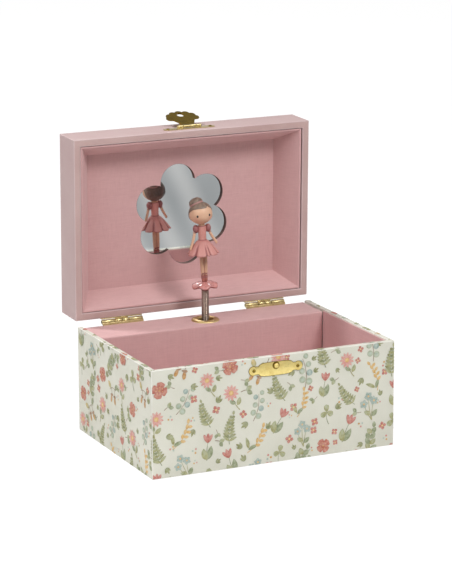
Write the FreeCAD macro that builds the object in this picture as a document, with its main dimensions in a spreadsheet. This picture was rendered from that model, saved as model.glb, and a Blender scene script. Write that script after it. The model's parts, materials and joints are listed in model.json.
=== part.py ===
import FreeCAD, Part
import math
import os
from types import SimpleNamespace

import Sketcher
from FreeCAD import Placement, Rotation, Vector

# Driving dimensions, in millimetres, degrees and counts
SIZES = {
    # Base box and its boards
    "box_width": 180.0,
    "box_depth": 128.0,
    "base_height": 74.0,
    "wall": 5.0,
    "tray_wall": 3.6,
    "bottom_board": 3.0,
    "lining": 0.8,
    "lining_drop": 1.0,
    # Covered compartment for the movement
    "compartment_depth": 25.5,
    "cover_board": 2.5,
    "cover_drop": 1.2,
    "cover_side_gap": 0.6,
    "post_setback": 11.5,
    # Lid, shown open
    "lid_height": 26.5,
    "lid_board": 2.5,
    "lid_gap": 1.6,
    "lid_open": 89.0,
    "board_fit": 0.2,
    "panel_board": 2.0,
    "panel_inset_x": 18.0,
    "panel_inset_y": 15.8,
    "liner_card": 1.2,
    "liner_inset": 0.8,
    "mirror_width": 90.0,
    "mirror_height": 88.0,
    "mirror_glass": 1.5,
    "lobe_count": 6,
    "lobe_orbit": 23.3,
    "lobe_radius": 13.5,
    "lobe_turn": 37.5,
    # Hinges
    "hinge_setback": 2.4,
    "hinge_inset": 34.5,
    "hinge_length": 31.0,
    "hinge_leaf": 0.7,
    "hinge_leaf_height": 8.0,
    "hinge_web": 1.2,
    "barrel_radius": 1.55,
    "pin_radius": 0.7,
    "knuckle_gap": 0.3,
    "hinge_nail_spacing": 20.0,
    "hinge_nail_drop": 4.5,
    # Fasteners and fits
    "running_fit": 0.05,
    "nail_radius": 0.5,
    "nail_length": 4.0,
    "nail_head_radius": 1.2,
    "nail_head_height": 0.5,
    "screw_radius": 1.0,
    "screw_length": 5.5,
    "screw_head_radius": 1.9,
    "screw_head_height": 1.0,
    # Latch
    "latch_height": 65.4,
    "latch_plate": 0.6,
    "latch_end_spacing": 32.4,
    "latch_end_radius": 3.8,
    "latch_bridge": 5.3,
    "latch_lens_width": 27.0,
    "latch_lens_height": 10.6,
    "latch_nail_spacing": 32.4,
    "hasp_plate_length": 33.6,
    "hasp_plate_height": 5.2,
    "hasp_plate_rise": 5.4,
    "hasp_axis_out": 1.9,
    "hasp_axis_rise": 8.0,
    "hasp_barrel_radius": 1.0,
    "hasp_barrel_length": 18.0,
    "hasp_knuckle_length": 9.4,
    "hasp_pin_radius": 0.5,
    "hasp_sheet": 0.8,
    "hasp_root": 9.0,
    "hasp_neck": 1.4,
    "hasp_lobes": 7,
    "hasp_lobe_drop": 11.5,
    "hasp_lobe_spread": 9.9,
    "hasp_lobe_depth": 7.3,
    "hasp_lobe_radius": 2.7,
    "hasp_hole_drop": 16.0,
    "hasp_hole_radius": 1.95,
    "hasp_rest": 163.0,
    "knob_radius": 1.45,
    "knob_reach": 1.6,
    "knob_stem_radius": 1.0,
    "knob_stem_depth": 3.0,
    # Grommet, spring post and figure
    "grommet_bore": 5.5,
    "grommet_tube": 6.5,
    "grommet_flange_radius": 9.5,
    "grommet_flange": 1.1,
    "grommet_tail": 1.2,
    "post_height": 21.0,
    "spring_coil_radius": 1.95,
    "spring_wire": 0.9,
    "spring_pitch": 1.36,
    "spring_turns": 20,
    "spring_seat_drop": 12.0,
    "spring_end_gap": 0.3,
    "spigot_radius": 1.1,
    "spigot_length": 8.0,
    "figure_lean": 3.0,
    "petal_count": 6,
    "petal_orbit": 5.4,
    "petal_length": 4.7,
    "petal_width": 3.6,
    "petal_thickness": 1.2,
    "petal_droop": 16.0,
    "petal_height": 3.1,
    "pedestal_hub_radius": 4.2,
    "pedestal_height": 5.6,
    "leg_spread": 1.55,
    "leg_foot_radius": 1.5,
    "leg_hip_radius": 2.2,
    "hem_height": 26.0,
    "hem_radius": 12.7,
    "waist_height": 35.8,
    "waist_radius": 3.3,
    "skirt_wall": 1.2,
    "pleat_count": 8,
    "pleat_share": 0.71,
    "valley_share": 0.76,
    "shoulder_height": 45.6,
    "shoulder_radius": 3.5,
    "neck_radius": 1.8,
    "sleeve_spread": 5.2,
    "sleeve_height": 43.0,
    "sleeve_radius": 2.5,
    "sleeve_half_height": 3.0,
    "hand_spread": 10.2,
    "hand_height": 29.4,
    "arm_radius": 1.0,
    "head_height": 54.3,
    "head_radius_x": 9.4,
    "head_radius_y": 9.0,
    "head_radius_z": 8.5,
    "bun_height": 62.0,
    "bun_setback": 4.6,
    "bun_radius": 4.9,
    "bun_half_height": 3.9,
    # Movement behind the compartment's front board
    "movement_height": 34.0,
    "bedplate": 2.0,
    "bedplate_margin": 18.5,
    "bedplate_reach": 10.0,
    "bedplate_drop": 29.0,
    "bedplate_rise": 25.0,
    "bed_screw_inset": 3.0,
    "ear": 1.6,
    "ear_reach": 3.5,
    "ear_gap": 0.5,
    "crown_module": 0.625,
    "barrel_teeth": 48,
    "pinion_teeth": 12,
    "spindle_teeth": 16,
    "pinion_width": 2.2,
    "crown_tooth_length": 1.2,
    "governor_module": 0.5,
    "governor_wheel_teeth": 32,
    "governor_pinion_teeth": 8,
    "governor_wheel_width": 1.5,
    "governor_shaft_radius": 0.6,
    "fan_radius": 2.7,
    "fan_sheet": 0.5,
    "fan_length": 11.0,
    "axle_radius": 1.2,
    "cylinder_radius": 6.0,
    "cylinder_length": 17.0,
    "tune_pin_radius": 0.25,
    "tune_pin_height": 0.6,
    "tune_pin_rows": 9,
    "tine_gap": 0.3,
    "tine_count": 18,
    "tine_slot": 0.35,
    "tine_length": 13.0,
    "comb_plate": 1.2,
    "comb_land": 7.8,
    "comb_screw_spacing": 10.0,
    "comb_screw_inset": 3.6,
    "barrel_wall": 2.0,
    "barrel_floor": 1.2,
    "barrel_lip": 1.2,
    "bed_clearance": 0.4,
    "cap_thickness": 1.0,
    "mainspring_strip": 0.4,
    "mainspring_turns": 8,
    "mainspring_side_gap": 0.3,
    "arbor_radius": 1.6,
    "arbor_tail": 6.0,
    "key_hole_radius": 2.4,
    "key_wall_gap": 0.8,
    "key_hub_radius": 3.0,
    "key_hub_length": 7.4,
    "key_sheet": 1.8,
    "key_lobe_spread": 7.0,
    "key_lobe_radius": 6.0,
    "key_lobe_reach": 13.5,
    "key_eye_radius": 2.3,
    "spindle_radius": 1.5,
    "spindle_flange_radius": 2.6,
    "spindle_flange": 1.4,
    "spindle_neck": 0.8,
    "wheel_disc": 2.0,
    "wheel_rim": 1.2,
    "bracket_base": 13.5,
    "bracket_half_width": 4.0,
    "bracket_nose": 4.0,
    "bracket_foot": 2.0,
    "bracket_foot_reach": 8.8,
    "bracket_screw_reach": 6.4,
}

AXIS_TURN = {
    "X": Rotation(Vector(0, 1, 0), 90),
    "Y": Rotation(Vector(1, 0, 0), -90),
    "Z": Rotation(),
}
TOOTH_ADDENDUM = 0.8
TOOTH_DEDENDUM = 1.2
TOOTH_SHARE = 0.30
PRESSURE_SLOPE = 0.364
ARC_POINT_COUNT = 5
HALF_TURN_ARC_COUNT = 4


class Size:
    """A length, angle or count that carries its value and its spreadsheet formula."""

    def __init__(self, value, formula):
        self.value = value
        self.formula = formula

    def __add__(self, other):
        other = as_size(other)
        return Size(self.value + other.value, f"({self.formula} + {other.formula})")

    def __sub__(self, other):
        other = as_size(other)
        return Size(self.value - other.value, f"({self.formula} - {other.formula})")

    def __mul__(self, other):
        other = as_size(other)
        return Size(self.value * other.value, f"({self.formula} * {other.formula})")

    def __truediv__(self, other):
        other = as_size(other)
        return Size(self.value / other.value, f"({self.formula} / {other.formula})")

    def __radd__(self, other):
        return as_size(other) + self

    def __rsub__(self, other):
        return as_size(other) - self

    def __rmul__(self, other):
        return as_size(other) * self

    def __neg__(self):
        return as_size(0) - self


def as_size(number):
    """A plain number as a Size, and a Size as it is."""
    if isinstance(number, Size):
        return number
    return Size(number, f"({number})")


def cos_of(angle):
    angle = as_size(angle)
    return Size(math.cos(math.radians(angle.value)), f"cos({angle.formula})")


def sin_of(angle):
    angle = as_size(angle)
    return Size(math.sin(math.radians(angle.value)), f"sin({angle.formula})")


doc = FreeCAD.newDocument("jewellery_box")
sheet = doc.addObject("Spreadsheet::Sheet", "sheet")
for row, (alias, number) in enumerate(SIZES.items(), start=1):
    sheet.set(f"A{row}", alias)
    sheet.set(f"B{row}", str(number))
    sheet.setAlias(f"B{row}", alias)
doc.recompute()

s = SimpleNamespace(**{alias: Size(number, f"sheet.{alias}") for alias, number in SIZES.items()})
nodes = {}


def bind(thing, prop, size):
    """Tie a property to the formula of a size."""
    thing.setExpression(prop, as_size(size).formula)


def keep(label, thing):
    """Name a finished sub-part and list it for export."""
    thing.Label = label
    nodes[label] = thing
    return thing


def put(thing, x=0, y=0, z=0):
    """Tie the place of an object to three sizes."""
    for letter, size in zip("xyz", (x, y, z)):
        bind(thing, f"Placement.Base.{letter}", size)


def turn_about(thing, axis, angle):
    """Tie the turn of an object about one axis to an angle below half a turn."""
    thing.Placement = Placement(Vector(), Rotation(axis, as_size(angle).value))
    bind(thing, "Placement.Rotation.Angle", angle)


# Solids of the Part workbench


def box(name, x, y, z):
    """A rectangular block between the two ends given on each axis."""
    block = doc.addObject("Part::Box", name)
    for prop, (low, high) in zip(("Length", "Width", "Height"), (x, y, z)):
        bind(block, prop, as_size(high) - low)
    put(block, x[0], y[0], z[0])
    return block


def rod(name, axis, radius, at, ends):
    """A round rod along an axis; at holds its two other coordinates in X, Y, Z order."""
    bar = doc.addObject("Part::Cylinder", name)
    bar.Placement = Placement(Vector(), AXIS_TURN[axis])
    bind(bar, "Radius", radius)
    bind(bar, "Height", as_size(ends[1]) - ends[0])
    place = list(at)
    place.insert("XYZ".index(axis), ends[0])
    put(bar, *place)
    return bar


def ellipsoid(name, radii, at):
    """An ellipsoid with its three radii along X, Y and Z."""
    ball = doc.addObject("Part::Ellipsoid", name)
    bind(ball, "Radius1", radii[2])
    bind(ball, "Radius2", radii[0])
    bind(ball, "Radius3", radii[1])
    put(ball, *at)
    return ball


def cone(name, radii, at, ends):
    """An upright cone between two heights; radii are those at its low and high end."""
    taper = doc.addObject("Part::Cone", name)
    bind(taper, "Radius1", radii[0])
    bind(taper, "Radius2", radii[1])
    bind(taper, "Height", as_size(ends[1]) - ends[0])
    put(taper, at[0], at[1], ends[0])
    return taper


def fuse(name, shapes):
    joined = doc.addObject("Part::MultiFuse", name)
    joined.Shapes = shapes
    return joined


def fuse_in_turn(name, shapes):
    """Rounded shapes joined one after the other into one solid."""
    joined = shapes[0]
    for index, shape in enumerate(shapes[1:], start=1):
        pair = doc.addObject("Part::Fuse", f"{name}_join_{index}")
        pair.Base = joined
        pair.Tool = shape
        joined = pair
    return joined


def cut(name, base, tools):
    """The base with every tool taken out of it."""
    result = doc.addObject("Part::Cut", name)
    result.Base = base
    result.Tool = tools[0] if len(tools) == 1 else fuse(name + "_tools", tools)
    return result


# Bodies of the PartDesign workbench


def make_body(name):
    return doc.addObject("PartDesign::Body", name)


def origin_feature(body, role):
    return next(feature for feature in body.Origin.OriginFeatures if feature.Role == role)


def sketch_on(body, name, role, offset=0):
    """A sketch on one of the body's origin planes, moved along its normal by an offset."""
    drawing = body.newObject("Sketcher::SketchObject", name)
    drawing.AttachmentSupport = [(origin_feature(body, role), "")]
    drawing.MapMode = "FlatFace"
    bind(drawing, "AttachmentOffset.Base.z", offset)
    return drawing


def hold(drawing, kind, geometry, position, size):
    """Hold one coordinate of a sketch point at a size from the origin."""
    size = as_size(size)
    if abs(size.value) < 1e-9:
        axis = -2 if kind == "DistanceX" else -1
        drawing.addConstraint(Sketcher.Constraint("PointOnObject", geometry, position, axis))
        return
    constraint = Sketcher.Constraint(kind, -1, 1, geometry, position, size.value)
    number = drawing.addConstraint(constraint)
    bind(drawing, f"Constraints[{number}]", size)


def hold_point(drawing, geometry, position, point):
    hold(drawing, "DistanceX", geometry, position, point[0])
    hold(drawing, "DistanceY", geometry, position, point[1])


def corner(point):
    return Vector(as_size(point[0]).value, as_size(point[1]).value, 0)


def draw_outline(drawing, points):
    """Closed straight lines through the points."""
    count = len(points)
    lines = []
    for index in range(count):
        start = corner(points[index])
        end = corner(points[(index + 1) % count])
        lines.append(drawing.addGeometry(Part.LineSegment(start, end), False))
    for index in range(count):
        follower = lines[(index + 1) % count]
        drawing.addConstraint(Sketcher.Constraint("Coincident", lines[index], 2, follower, 1))
        hold_point(drawing, lines[index], 1, points[index])


def draw_rectangle(drawing, x, y):
    draw_outline(drawing, [(x[0], y[0]), (x[1], y[0]), (x[1], y[1]), (x[0], y[1])])


def draw_circle(drawing, centre, radius):
    circle = Part.Circle(corner(centre), Vector(0, 0, 1), as_size(radius).value)
    geometry = drawing.addGeometry(circle, False)
    hold_point(drawing, geometry, 3, centre)
    number = drawing.addConstraint(Sketcher.Constraint("Radius", geometry, as_size(radius).value))
    bind(drawing, f"Constraints[{number}]", radius)


def draw_lobed_ring(drawing, centre, lobe_centres, radius):
    """A closed ring of equal arcs, one about each lobe centre, that meet in inward points."""
    count = len(lobe_centres)
    middle = corner(centre)
    reach = as_size(radius).value
    arcs = []
    for index in range(count):
        lobe = corner(lobe_centres[index])
        ends = []
        for neighbour in (index - 1, index + 1):
            other = corner(lobe_centres[neighbour % count])
            half = (other - lobe) * 0.5
            outward = lobe + half - middle
            outward.normalize()
            rise = math.sqrt(reach ** 2 - half.Length ** 2)
            ends.append(lobe + half + outward * rise)
        top = lobe - middle
        top.normalize()
        arc = Part.Arc(ends[0], lobe + top * reach, ends[1])
        arcs.append(drawing.addGeometry(arc, False))
    for index in range(count):
        follower = arcs[(index + 1) % count]
        drawing.addConstraint(Sketcher.Constraint("Coincident", arcs[index], 2, follower, 1))
    for index in range(count):
        hold_point(drawing, arcs[index], 3, lobe_centres[index])
        number = drawing.addConstraint(Sketcher.Constraint("Radius", arcs[index], reach))
        bind(drawing, f"Constraints[{number}]", radius)


def pad(body, name, drawing, length):
    solid = body.newObject("PartDesign::Pad", name)
    solid.Profile = drawing
    bind(solid, "Length", length)
    return solid


def pocket(body, name, drawing, length, reverse=False):
    hollow = body.newObject("PartDesign::Pocket", name)
    hollow.Profile = drawing
    hollow.Reversed = reverse
    bind(hollow, "Length", length)
    return hollow


def revolve(body, name, points):
    """A solid of revolution about Z, from an outline of radii and heights."""
    drawing = sketch_on(body, name + "_profile", "XZ_Plane")
    draw_outline(drawing, points)
    turned = body.newObject("PartDesign::Revolution", name)
    turned.Profile = drawing
    turned.ReferenceAxis = (drawing, ["V_Axis"])
    turned.Angle = 360
    return turned


def loft(body, name, sections):
    """A solid with straight sides between two sections."""
    solid = body.newObject("PartDesign::AdditiveLoft", name)
    solid.Profile = sections[0]
    solid.Sections = sections[1:]
    solid.Ruled = True
    return solid


def repeat_round(body, name, feature, role, count):
    """Copies of a feature evenly round one of the body's axes."""
    pattern = body.newObject("PartDesign::PolarPattern", name)
    pattern.Originals = [feature]
    pattern.Axis = (origin_feature(body, role), [""])
    pattern.Angle = 360
    bind(pattern, "Occurrences", count)
    body.Tip = pattern
    return pattern


# Frame of the whole box: origin at the middle of the underside, front towards -Y

half_width = s.box_width / 2
half_depth = s.box_depth / 2
inner_x = half_width - s.wall
inner_y = half_depth - s.wall
hinge_y = half_depth + s.hinge_setback
hinge_z = s.base_height + s.lid_gap / 2
cover_top = s.base_height - s.cover_drop
cover_under = cover_top - s.cover_board
cover_front = inner_y - s.compartment_depth
tray_x = half_width - s.tray_wall
tray_front = s.tray_wall - half_depth
back_wall_top = cover_top - s.lining
post_y = inner_y - s.post_setback
pedestal_z = s.base_height + s.post_height

# Frame of the lid as if closed: origin on the hinge axis

lid_back = -s.hinge_setback
lid_front = lid_back - s.box_depth
lid_middle = (lid_back + lid_front) / 2
lid_rim = s.lid_gap / 2
lid_top = lid_rim + s.lid_height
lid_ceiling = lid_top - s.lid_board
panel_face = lid_ceiling - s.mirror_glass - s.panel_board


def open_with_lid(thing, x=0, y=0, z=0):
    """Carry an object built in the closed lid's frame to the open lid."""
    cosine = cos_of(s.lid_open)
    sine = sin_of(s.lid_open)
    turn_about(thing, Vector(-1, 0, 0), s.lid_open)
    put(thing, x, hinge_y + y * cosine + z * sine, hinge_z - y * sine + z * cosine)


def lid_board(label, x, y, z, holes=()):
    """A board of the lid, with any holes cut across its thickness."""
    if holes:
        board = cut(label, box(label + "_blank", x, y, z), list(holes))
        open_with_lid(board)
    else:
        board = box(label, x, y, z)
        open_with_lid(board, x[0], as_size(y[0]), as_size(z[0]))
    return keep(label, board)


def base_board(label, x, y, z, holes=()):
    board = box(label + "_blank", x, y, z) if holes else box(label, x, y, z)
    if holes:
        board = cut(label, board, list(holes))
    return keep(label, board)


# Fasteners: each has a shank along Y and a head on the side it was driven from


def fastener(name, x, z, face, inward, shank, head):
    """A nail or screw; inward is +1 when it is driven towards +Y and -1 the other way."""
    shank_radius, shank_length = shank
    head_radius, head_height = head
    tip = face + shank_length * inward
    crown = face - head_height * inward
    ends = (face, tip) if inward > 0 else (tip, face)
    caps = (crown, face) if inward > 0 else (face, crown)
    stem = rod(name + "_shank", "Y", shank_radius, (x, z), ends)
    cap = rod(name + "_head", "Y", head_radius, (x, z), caps)
    return fuse(name, [stem, cap])


def nail(name, x, z, face, inward):
    shank = (s.nail_radius, s.nail_length)
    return fastener(name, x, z, face, inward, shank, (s.nail_head_radius, s.nail_head_height))


def screw(name, x, z, face):
    shank = (s.screw_radius, s.screw_length)
    return fastener(name, x, z, face, 1, shank, (s.screw_head_radius, s.screw_head_height))


def hole(name, x, z, radius, ends):
    """A hole along Y with a running fit round what goes in it."""
    return rod(name, "Y", radius + s.running_fit, (x, z), ends)


hinge_reach = s.box_width / 2 - s.hinge_inset
hinge_centres = {"left": -hinge_reach, "right": hinge_reach}
hinge_nails = [
    (centre + side * s.hinge_nail_spacing / 2)
    for centre in hinge_centres.values()
    for side in (-1, 1)
]
hinge_nail_z = s.base_height - s.hinge_nail_drop
lid_nail_z = lid_rim + s.hinge_nail_drop
latch_nails = [side * s.latch_nail_spacing / 2 for side in (-1, 1)]
knob_z = s.base_height + s.lid_gap + s.hasp_axis_rise - s.hasp_hole_drop
hasp_plate_z = lid_rim + s.hasp_plate_rise + s.hasp_plate_height / 2

# Layout of the movement, worked out from the spindle towards the barrel

movement_z = s.movement_height
bed_face = inner_y - s.bedplate
barrel_pitch = s.crown_module * s.barrel_teeth / 2
pinion_pitch = s.crown_module * s.pinion_teeth / 2
spindle_pitch = s.crown_module * s.spindle_teeth / 2
right_ear = -(spindle_pitch + s.pinion_width / 2 + s.ear_gap)
cylinder_right = right_ear - s.ear - s.ear_gap
cylinder_left = cylinder_right - s.cylinder_length
wheel_left = cylinder_left - s.governor_wheel_width
left_ear = wheel_left - s.ear_gap
pinion_right = left_ear - s.ear - s.ear_gap
pinion_left = pinion_right - s.pinion_width
barrel_x = pinion_right - s.pinion_width / 2 - barrel_pitch
governor_z = movement_z + s.governor_module * (s.governor_wheel_teeth + s.governor_pinion_teeth) / 2
bed_left = barrel_x - s.bedplate_margin
bed_right = s.bedplate_reach
bed_bottom = movement_z - s.bedplate_drop
bed_top = movement_z + s.bedplate_rise
bracket_bottom = movement_z + s.bracket_base
seat_top = s.base_height - s.spring_seat_drop
bracket_top = seat_top - s.spindle_flange * 2 - s.spindle_neck - s.running_fit
foot_face = bed_face - s.bracket_foot
comb_face = post_y - s.comb_plate / 2
comb_tip = movement_z - s.cylinder_radius - s.tune_pin_height - s.tine_gap
comb_root = comb_tip - s.tine_length
comb_foot = comb_root - s.comb_land
comb_middle = (cylinder_left + cylinder_right) / 2
bed_screws = [
    (bed_left + s.bed_screw_inset, bed_bottom + s.bed_screw_inset),
    (bed_right - s.bed_screw_inset, bed_bottom + s.bed_screw_inset),
    (bed_left + s.bed_screw_inset, bed_top - s.bed_screw_inset),
]
bracket_screws = [
    (side * s.bracket_screw_reach, (bracket_bottom + bracket_top) / 2) for side in (-1, 1)
]
comb_screws = [
    (comb_middle + side * s.comb_screw_spacing / 2, comb_foot + s.comb_screw_inset)
    for side in (-1, 1)
]


def base_box():
    """Five boards of the base with the holes for the fasteners and the key."""
    full_x = (-half_width, half_width)
    between_x = (-tray_x, tray_x)
    side_y = (tray_front, half_depth)
    height = (0, s.base_height)
    front_y = (-half_depth, tray_front)
    back_y = (inner_y, half_depth)
    front_holes = [
        hole(f"latch_nail_hole_{index}", x, s.latch_height, s.nail_radius, front_y)
        for index, x in enumerate(latch_nails)
    ]
    front_holes.append(hole("knob_hole", 0, knob_z, s.knob_stem_radius, front_y))
    back_holes = [
        hole(f"hinge_nail_hole_{index}", x, hinge_nail_z, s.nail_radius, back_y)
        for index, x in enumerate(hinge_nails)
    ]
    for name, places, face in (("bed", bed_screws, bed_face), ("bracket", bracket_screws, foot_face)):
        for index, (x, z) in enumerate(places):
            ends = (inner_y, face + s.screw_length + s.board_fit)
            back_holes.append(hole(f"{name}_screw_hole_{index}", x, z, s.screw_radius, ends))
    back_holes.append(rod("key_hole", "Y", s.key_hole_radius, (barrel_x, movement_z), back_y))
    base_board("base_front_wall", full_x, front_y, height, front_holes)
    base_board("base_back_wall", between_x, back_y, (0, back_wall_top), back_holes)
    base_board("base_left_wall", (-half_width, -tray_x), side_y, height)
    base_board("base_right_wall", (tray_x, half_width), side_y, height)
    base_board("base_bottom", between_x, (tray_front, inner_y), (0, s.bottom_board))


def tray_linings():
    """Thin covered cards on the tray's floor and three outer sides."""
    floor = s.bottom_board + s.lining
    lining_top = s.base_height - s.lining_drop
    sides_z = (floor, lining_top)
    tray_y = (tray_front, cover_front)
    base_board("tray_floor_lining", (-tray_x, tray_x), tray_y, (s.bottom_board, floor))
    base_board("tray_left_lining", (-tray_x, s.lining - tray_x), tray_y, sides_z)
    base_board("tray_right_lining", (tray_x - s.lining, tray_x), tray_y, sides_z)
    front_x = (s.lining - tray_x, tray_x - s.lining)
    base_board("tray_front_lining", front_x, (tray_front, tray_front + s.lining), sides_z)


def compartment():
    """Cover board, whose lining runs on over the back wall, front board, and the cover's grommet."""
    half = tray_x - s.cover_side_gap
    front_y = (cover_front, cover_front + s.cover_board)
    base_board("movement_cover_front", (-half, half), front_y, (s.bottom_board, cover_under))
    board = box("cover_board", (-half, half), (cover_front, inner_y), (cover_under, cover_top))
    ledge = box("cover_ledge", (-half, half), (inner_y, half_depth), (back_wall_top, cover_top))
    top = fuse("cover_blank", [board, ledge])
    opening_radius = s.grommet_tube + s.running_fit
    opening = rod("cover_hole", "Z", opening_radius, (0, post_y), (cover_under, cover_top))
    keep("movement_cover_top", cut("movement_cover_top", top, [opening]))
    grommet = make_body("grommet")
    tail = -(s.cover_board + s.grommet_tail)
    shoulder = s.grommet_flange / 2
    revolve(grommet, "eyelet", [
        (s.grommet_bore, tail),
        (s.grommet_tube, tail),
        (s.grommet_tube, 0),
        (s.grommet_flange_radius, 0),
        (s.grommet_flange_radius, shoulder),
        (s.grommet_flange_radius - shoulder, s.grommet_flange),
        (s.grommet_bore + shoulder, s.grommet_flange),
        (s.grommet_bore, shoulder),
    ])
    put(grommet, 0, post_y, cover_top)
    keep("grommet", grommet)


def lid_box():
    """Top board and four wall boards of the lid."""
    full_x = (-half_width, half_width)
    height = (lid_rim, lid_ceiling)
    front_y = (lid_front, lid_front + s.wall)
    back_y = (lid_back - s.wall, lid_back)
    between_y = (lid_front + s.wall, lid_back - s.wall)
    front_holes = [
        hole(f"hasp_nail_hole_{index}", x, hasp_plate_z, s.nail_radius, front_y)
        for index, x in enumerate(latch_nails)
    ]
    back_holes = [
        hole(f"lid_nail_hole_{index}", x, lid_nail_z, s.nail_radius, back_y)
        for index, x in enumerate(hinge_nails)
    ]
    lid_board("lid_top", full_x, (lid_front, lid_back), (lid_ceiling, lid_top))
    lid_board("lid_front_wall", full_x, front_y, height, front_holes)
    lid_board("lid_back_wall", full_x, back_y, height, back_holes)
    lid_board("lid_left_wall", (-half_width, -inner_x), between_y, height)
    lid_board("lid_right_wall", (inner_x, half_width), between_y, height)


def liner_strip(label, rim_section, panel_section):
    """One sloped strip of the lid's lining, with mitred ends."""
    strip = make_body(label)
    sections = []
    for name, offset, points in (
        ("_rim", lid_rim + s.liner_inset, rim_section),
        ("_panel", panel_face, panel_section),
    ):
        drawing = sketch_on(strip, label + name, "XY_Plane", offset)
        draw_outline(drawing, points)
        sections.append(drawing)
    loft(strip, label + "_loft", sections)
    open_with_lid(strip)
    keep(label, strip)


def lid_lining():
    """Sloped lining strips, the panel with its lobed window, and the mirror behind it."""
    card = s.liner_card
    rim_x = inner_x - s.board_fit
    rim_low = lid_front + s.wall + s.board_fit
    rim_high = lid_back - s.wall - s.board_fit
    panel_x = half_width - s.panel_inset_x
    panel_low = lid_front + s.panel_inset_y
    panel_high = lid_back - s.panel_inset_y

    def ring_corners(x, low, high):
        return [(-x, low), (x, low), (x, high), (-x, high)]

    rim_outer = ring_corners(rim_x, rim_low, rim_high)
    rim_inner = ring_corners(rim_x - card, rim_low + card, rim_high - card)
    panel_outer = ring_corners(panel_x + card, panel_low - card, panel_high + card)
    panel_inner = ring_corners(panel_x, panel_low, panel_high)
    sides = ("lid_front_liner", "lid_right_liner", "lid_back_liner", "lid_left_liner")
    for index, label in enumerate(sides):
        after = (index + 1) % len(sides)
        rim = [rim_outer[index], rim_outer[after], rim_inner[after], rim_inner[index]]
        panel = [panel_outer[index], panel_outer[after], panel_inner[after], panel_inner[index]]
        liner_strip(label, rim, panel)

    board = make_body("mirror_panel")
    drawing = sketch_on(board, "panel_outline", "XY_Plane", panel_face)
    draw_rectangle(drawing, (-rim_x, rim_x), (rim_low, rim_high))
    pad(board, "panel_pad", drawing, s.panel_board)
    window = sketch_on(board, "window_outline", "XY_Plane", panel_face)
    lobes = []
    for index in range(int(s.lobe_count.value)):
        angle = s.lobe_turn - as_size(index) * 360 / s.lobe_count
        lobes.append((s.lobe_orbit * cos_of(angle), lid_middle - s.lobe_orbit * sin_of(angle)))
    draw_lobed_ring(window, (0, lid_middle), lobes, s.lobe_radius)
    pocket(board, "window", window, s.panel_board, reverse=True)
    open_with_lid(board)
    keep("mirror_panel", board)

    mirror_x = (-s.mirror_width / 2, s.mirror_width / 2)
    mirror_y = (lid_middle - s.mirror_height / 2, lid_middle + s.mirror_height / 2)
    lid_board("mirror", mirror_x, mirror_y, (lid_ceiling - s.mirror_glass, lid_ceiling))


def hinges():
    """Two hinges: a leaf on each back face, interleaved knuckles and a pin."""
    knuckle = (s.hinge_length - s.knuckle_gap * 2) / 3
    bore = s.pin_radius + s.running_fit
    for side, centre in hinge_centres.items():
        low = centre - s.hinge_length / 2
        high = centre + s.hinge_length / 2
        axis = (hinge_y, hinge_z)
        web_z = (hinge_z - s.barrel_radius, hinge_z - s.barrel_radius + s.hinge_web)
        leaf_z = (s.base_height - s.hinge_leaf_height, web_z[1])
        leaf_y = (half_depth, half_depth + s.hinge_leaf)
        shapes = [box(f"{side}_base_plate", (low, high), leaf_y, leaf_z)]
        for index, ends in enumerate(((low, low + knuckle), (high - knuckle, high))):
            shapes.append(rod(f"{side}_base_knuckle_{index}", "X", s.barrel_radius, axis, ends))
            shapes.append(box(f"{side}_base_web_{index}", ends, (half_depth, hinge_y), web_z))
        holes = [rod(f"{side}_base_bore", "X", bore, axis, (low, high))]
        for nail_side in (-1, 1):
            x = centre + nail_side * s.hinge_nail_spacing / 2
            holes.append(hole(f"{side}_base_leaf_hole_{nail_side}", x, hinge_nail_z, s.nail_radius, leaf_y))
        label = f"{side}_hinge_base_leaf"
        keep(label, cut(label, fuse(label + "_blank", shapes), holes))
        keep(f"{side}_hinge_pin", rod(f"{side}_hinge_pin", "X", s.pin_radius, axis, (low, high)))

        middle = (centre - knuckle / 2, centre + knuckle / 2)
        web_z = (s.barrel_radius - s.hinge_web, s.barrel_radius)
        leaf_z = (web_z[0], lid_rim + s.hinge_leaf_height)
        leaf_y = (lid_back, lid_back + s.hinge_leaf)
        shapes = [
            box(f"{side}_lid_plate", (low, high), leaf_y, leaf_z),
            rod(f"{side}_lid_knuckle", "X", s.barrel_radius, (0, 0), middle),
            box(f"{side}_lid_web", middle, (lid_back, 0), web_z),
        ]
        holes = [rod(f"{side}_lid_bore", "X", bore, (0, 0), middle)]
        for nail_side in (-1, 1):
            x = centre + nail_side * s.hinge_nail_spacing / 2
            holes.append(hole(f"{side}_lid_leaf_hole_{nail_side}", x, lid_nail_z, s.nail_radius, leaf_y))
        label = f"{side}_hinge_lid_leaf"
        leaf = cut(label, fuse(label + "_blank", shapes), holes)
        open_with_lid(leaf)
        keep(label, leaf)


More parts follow.
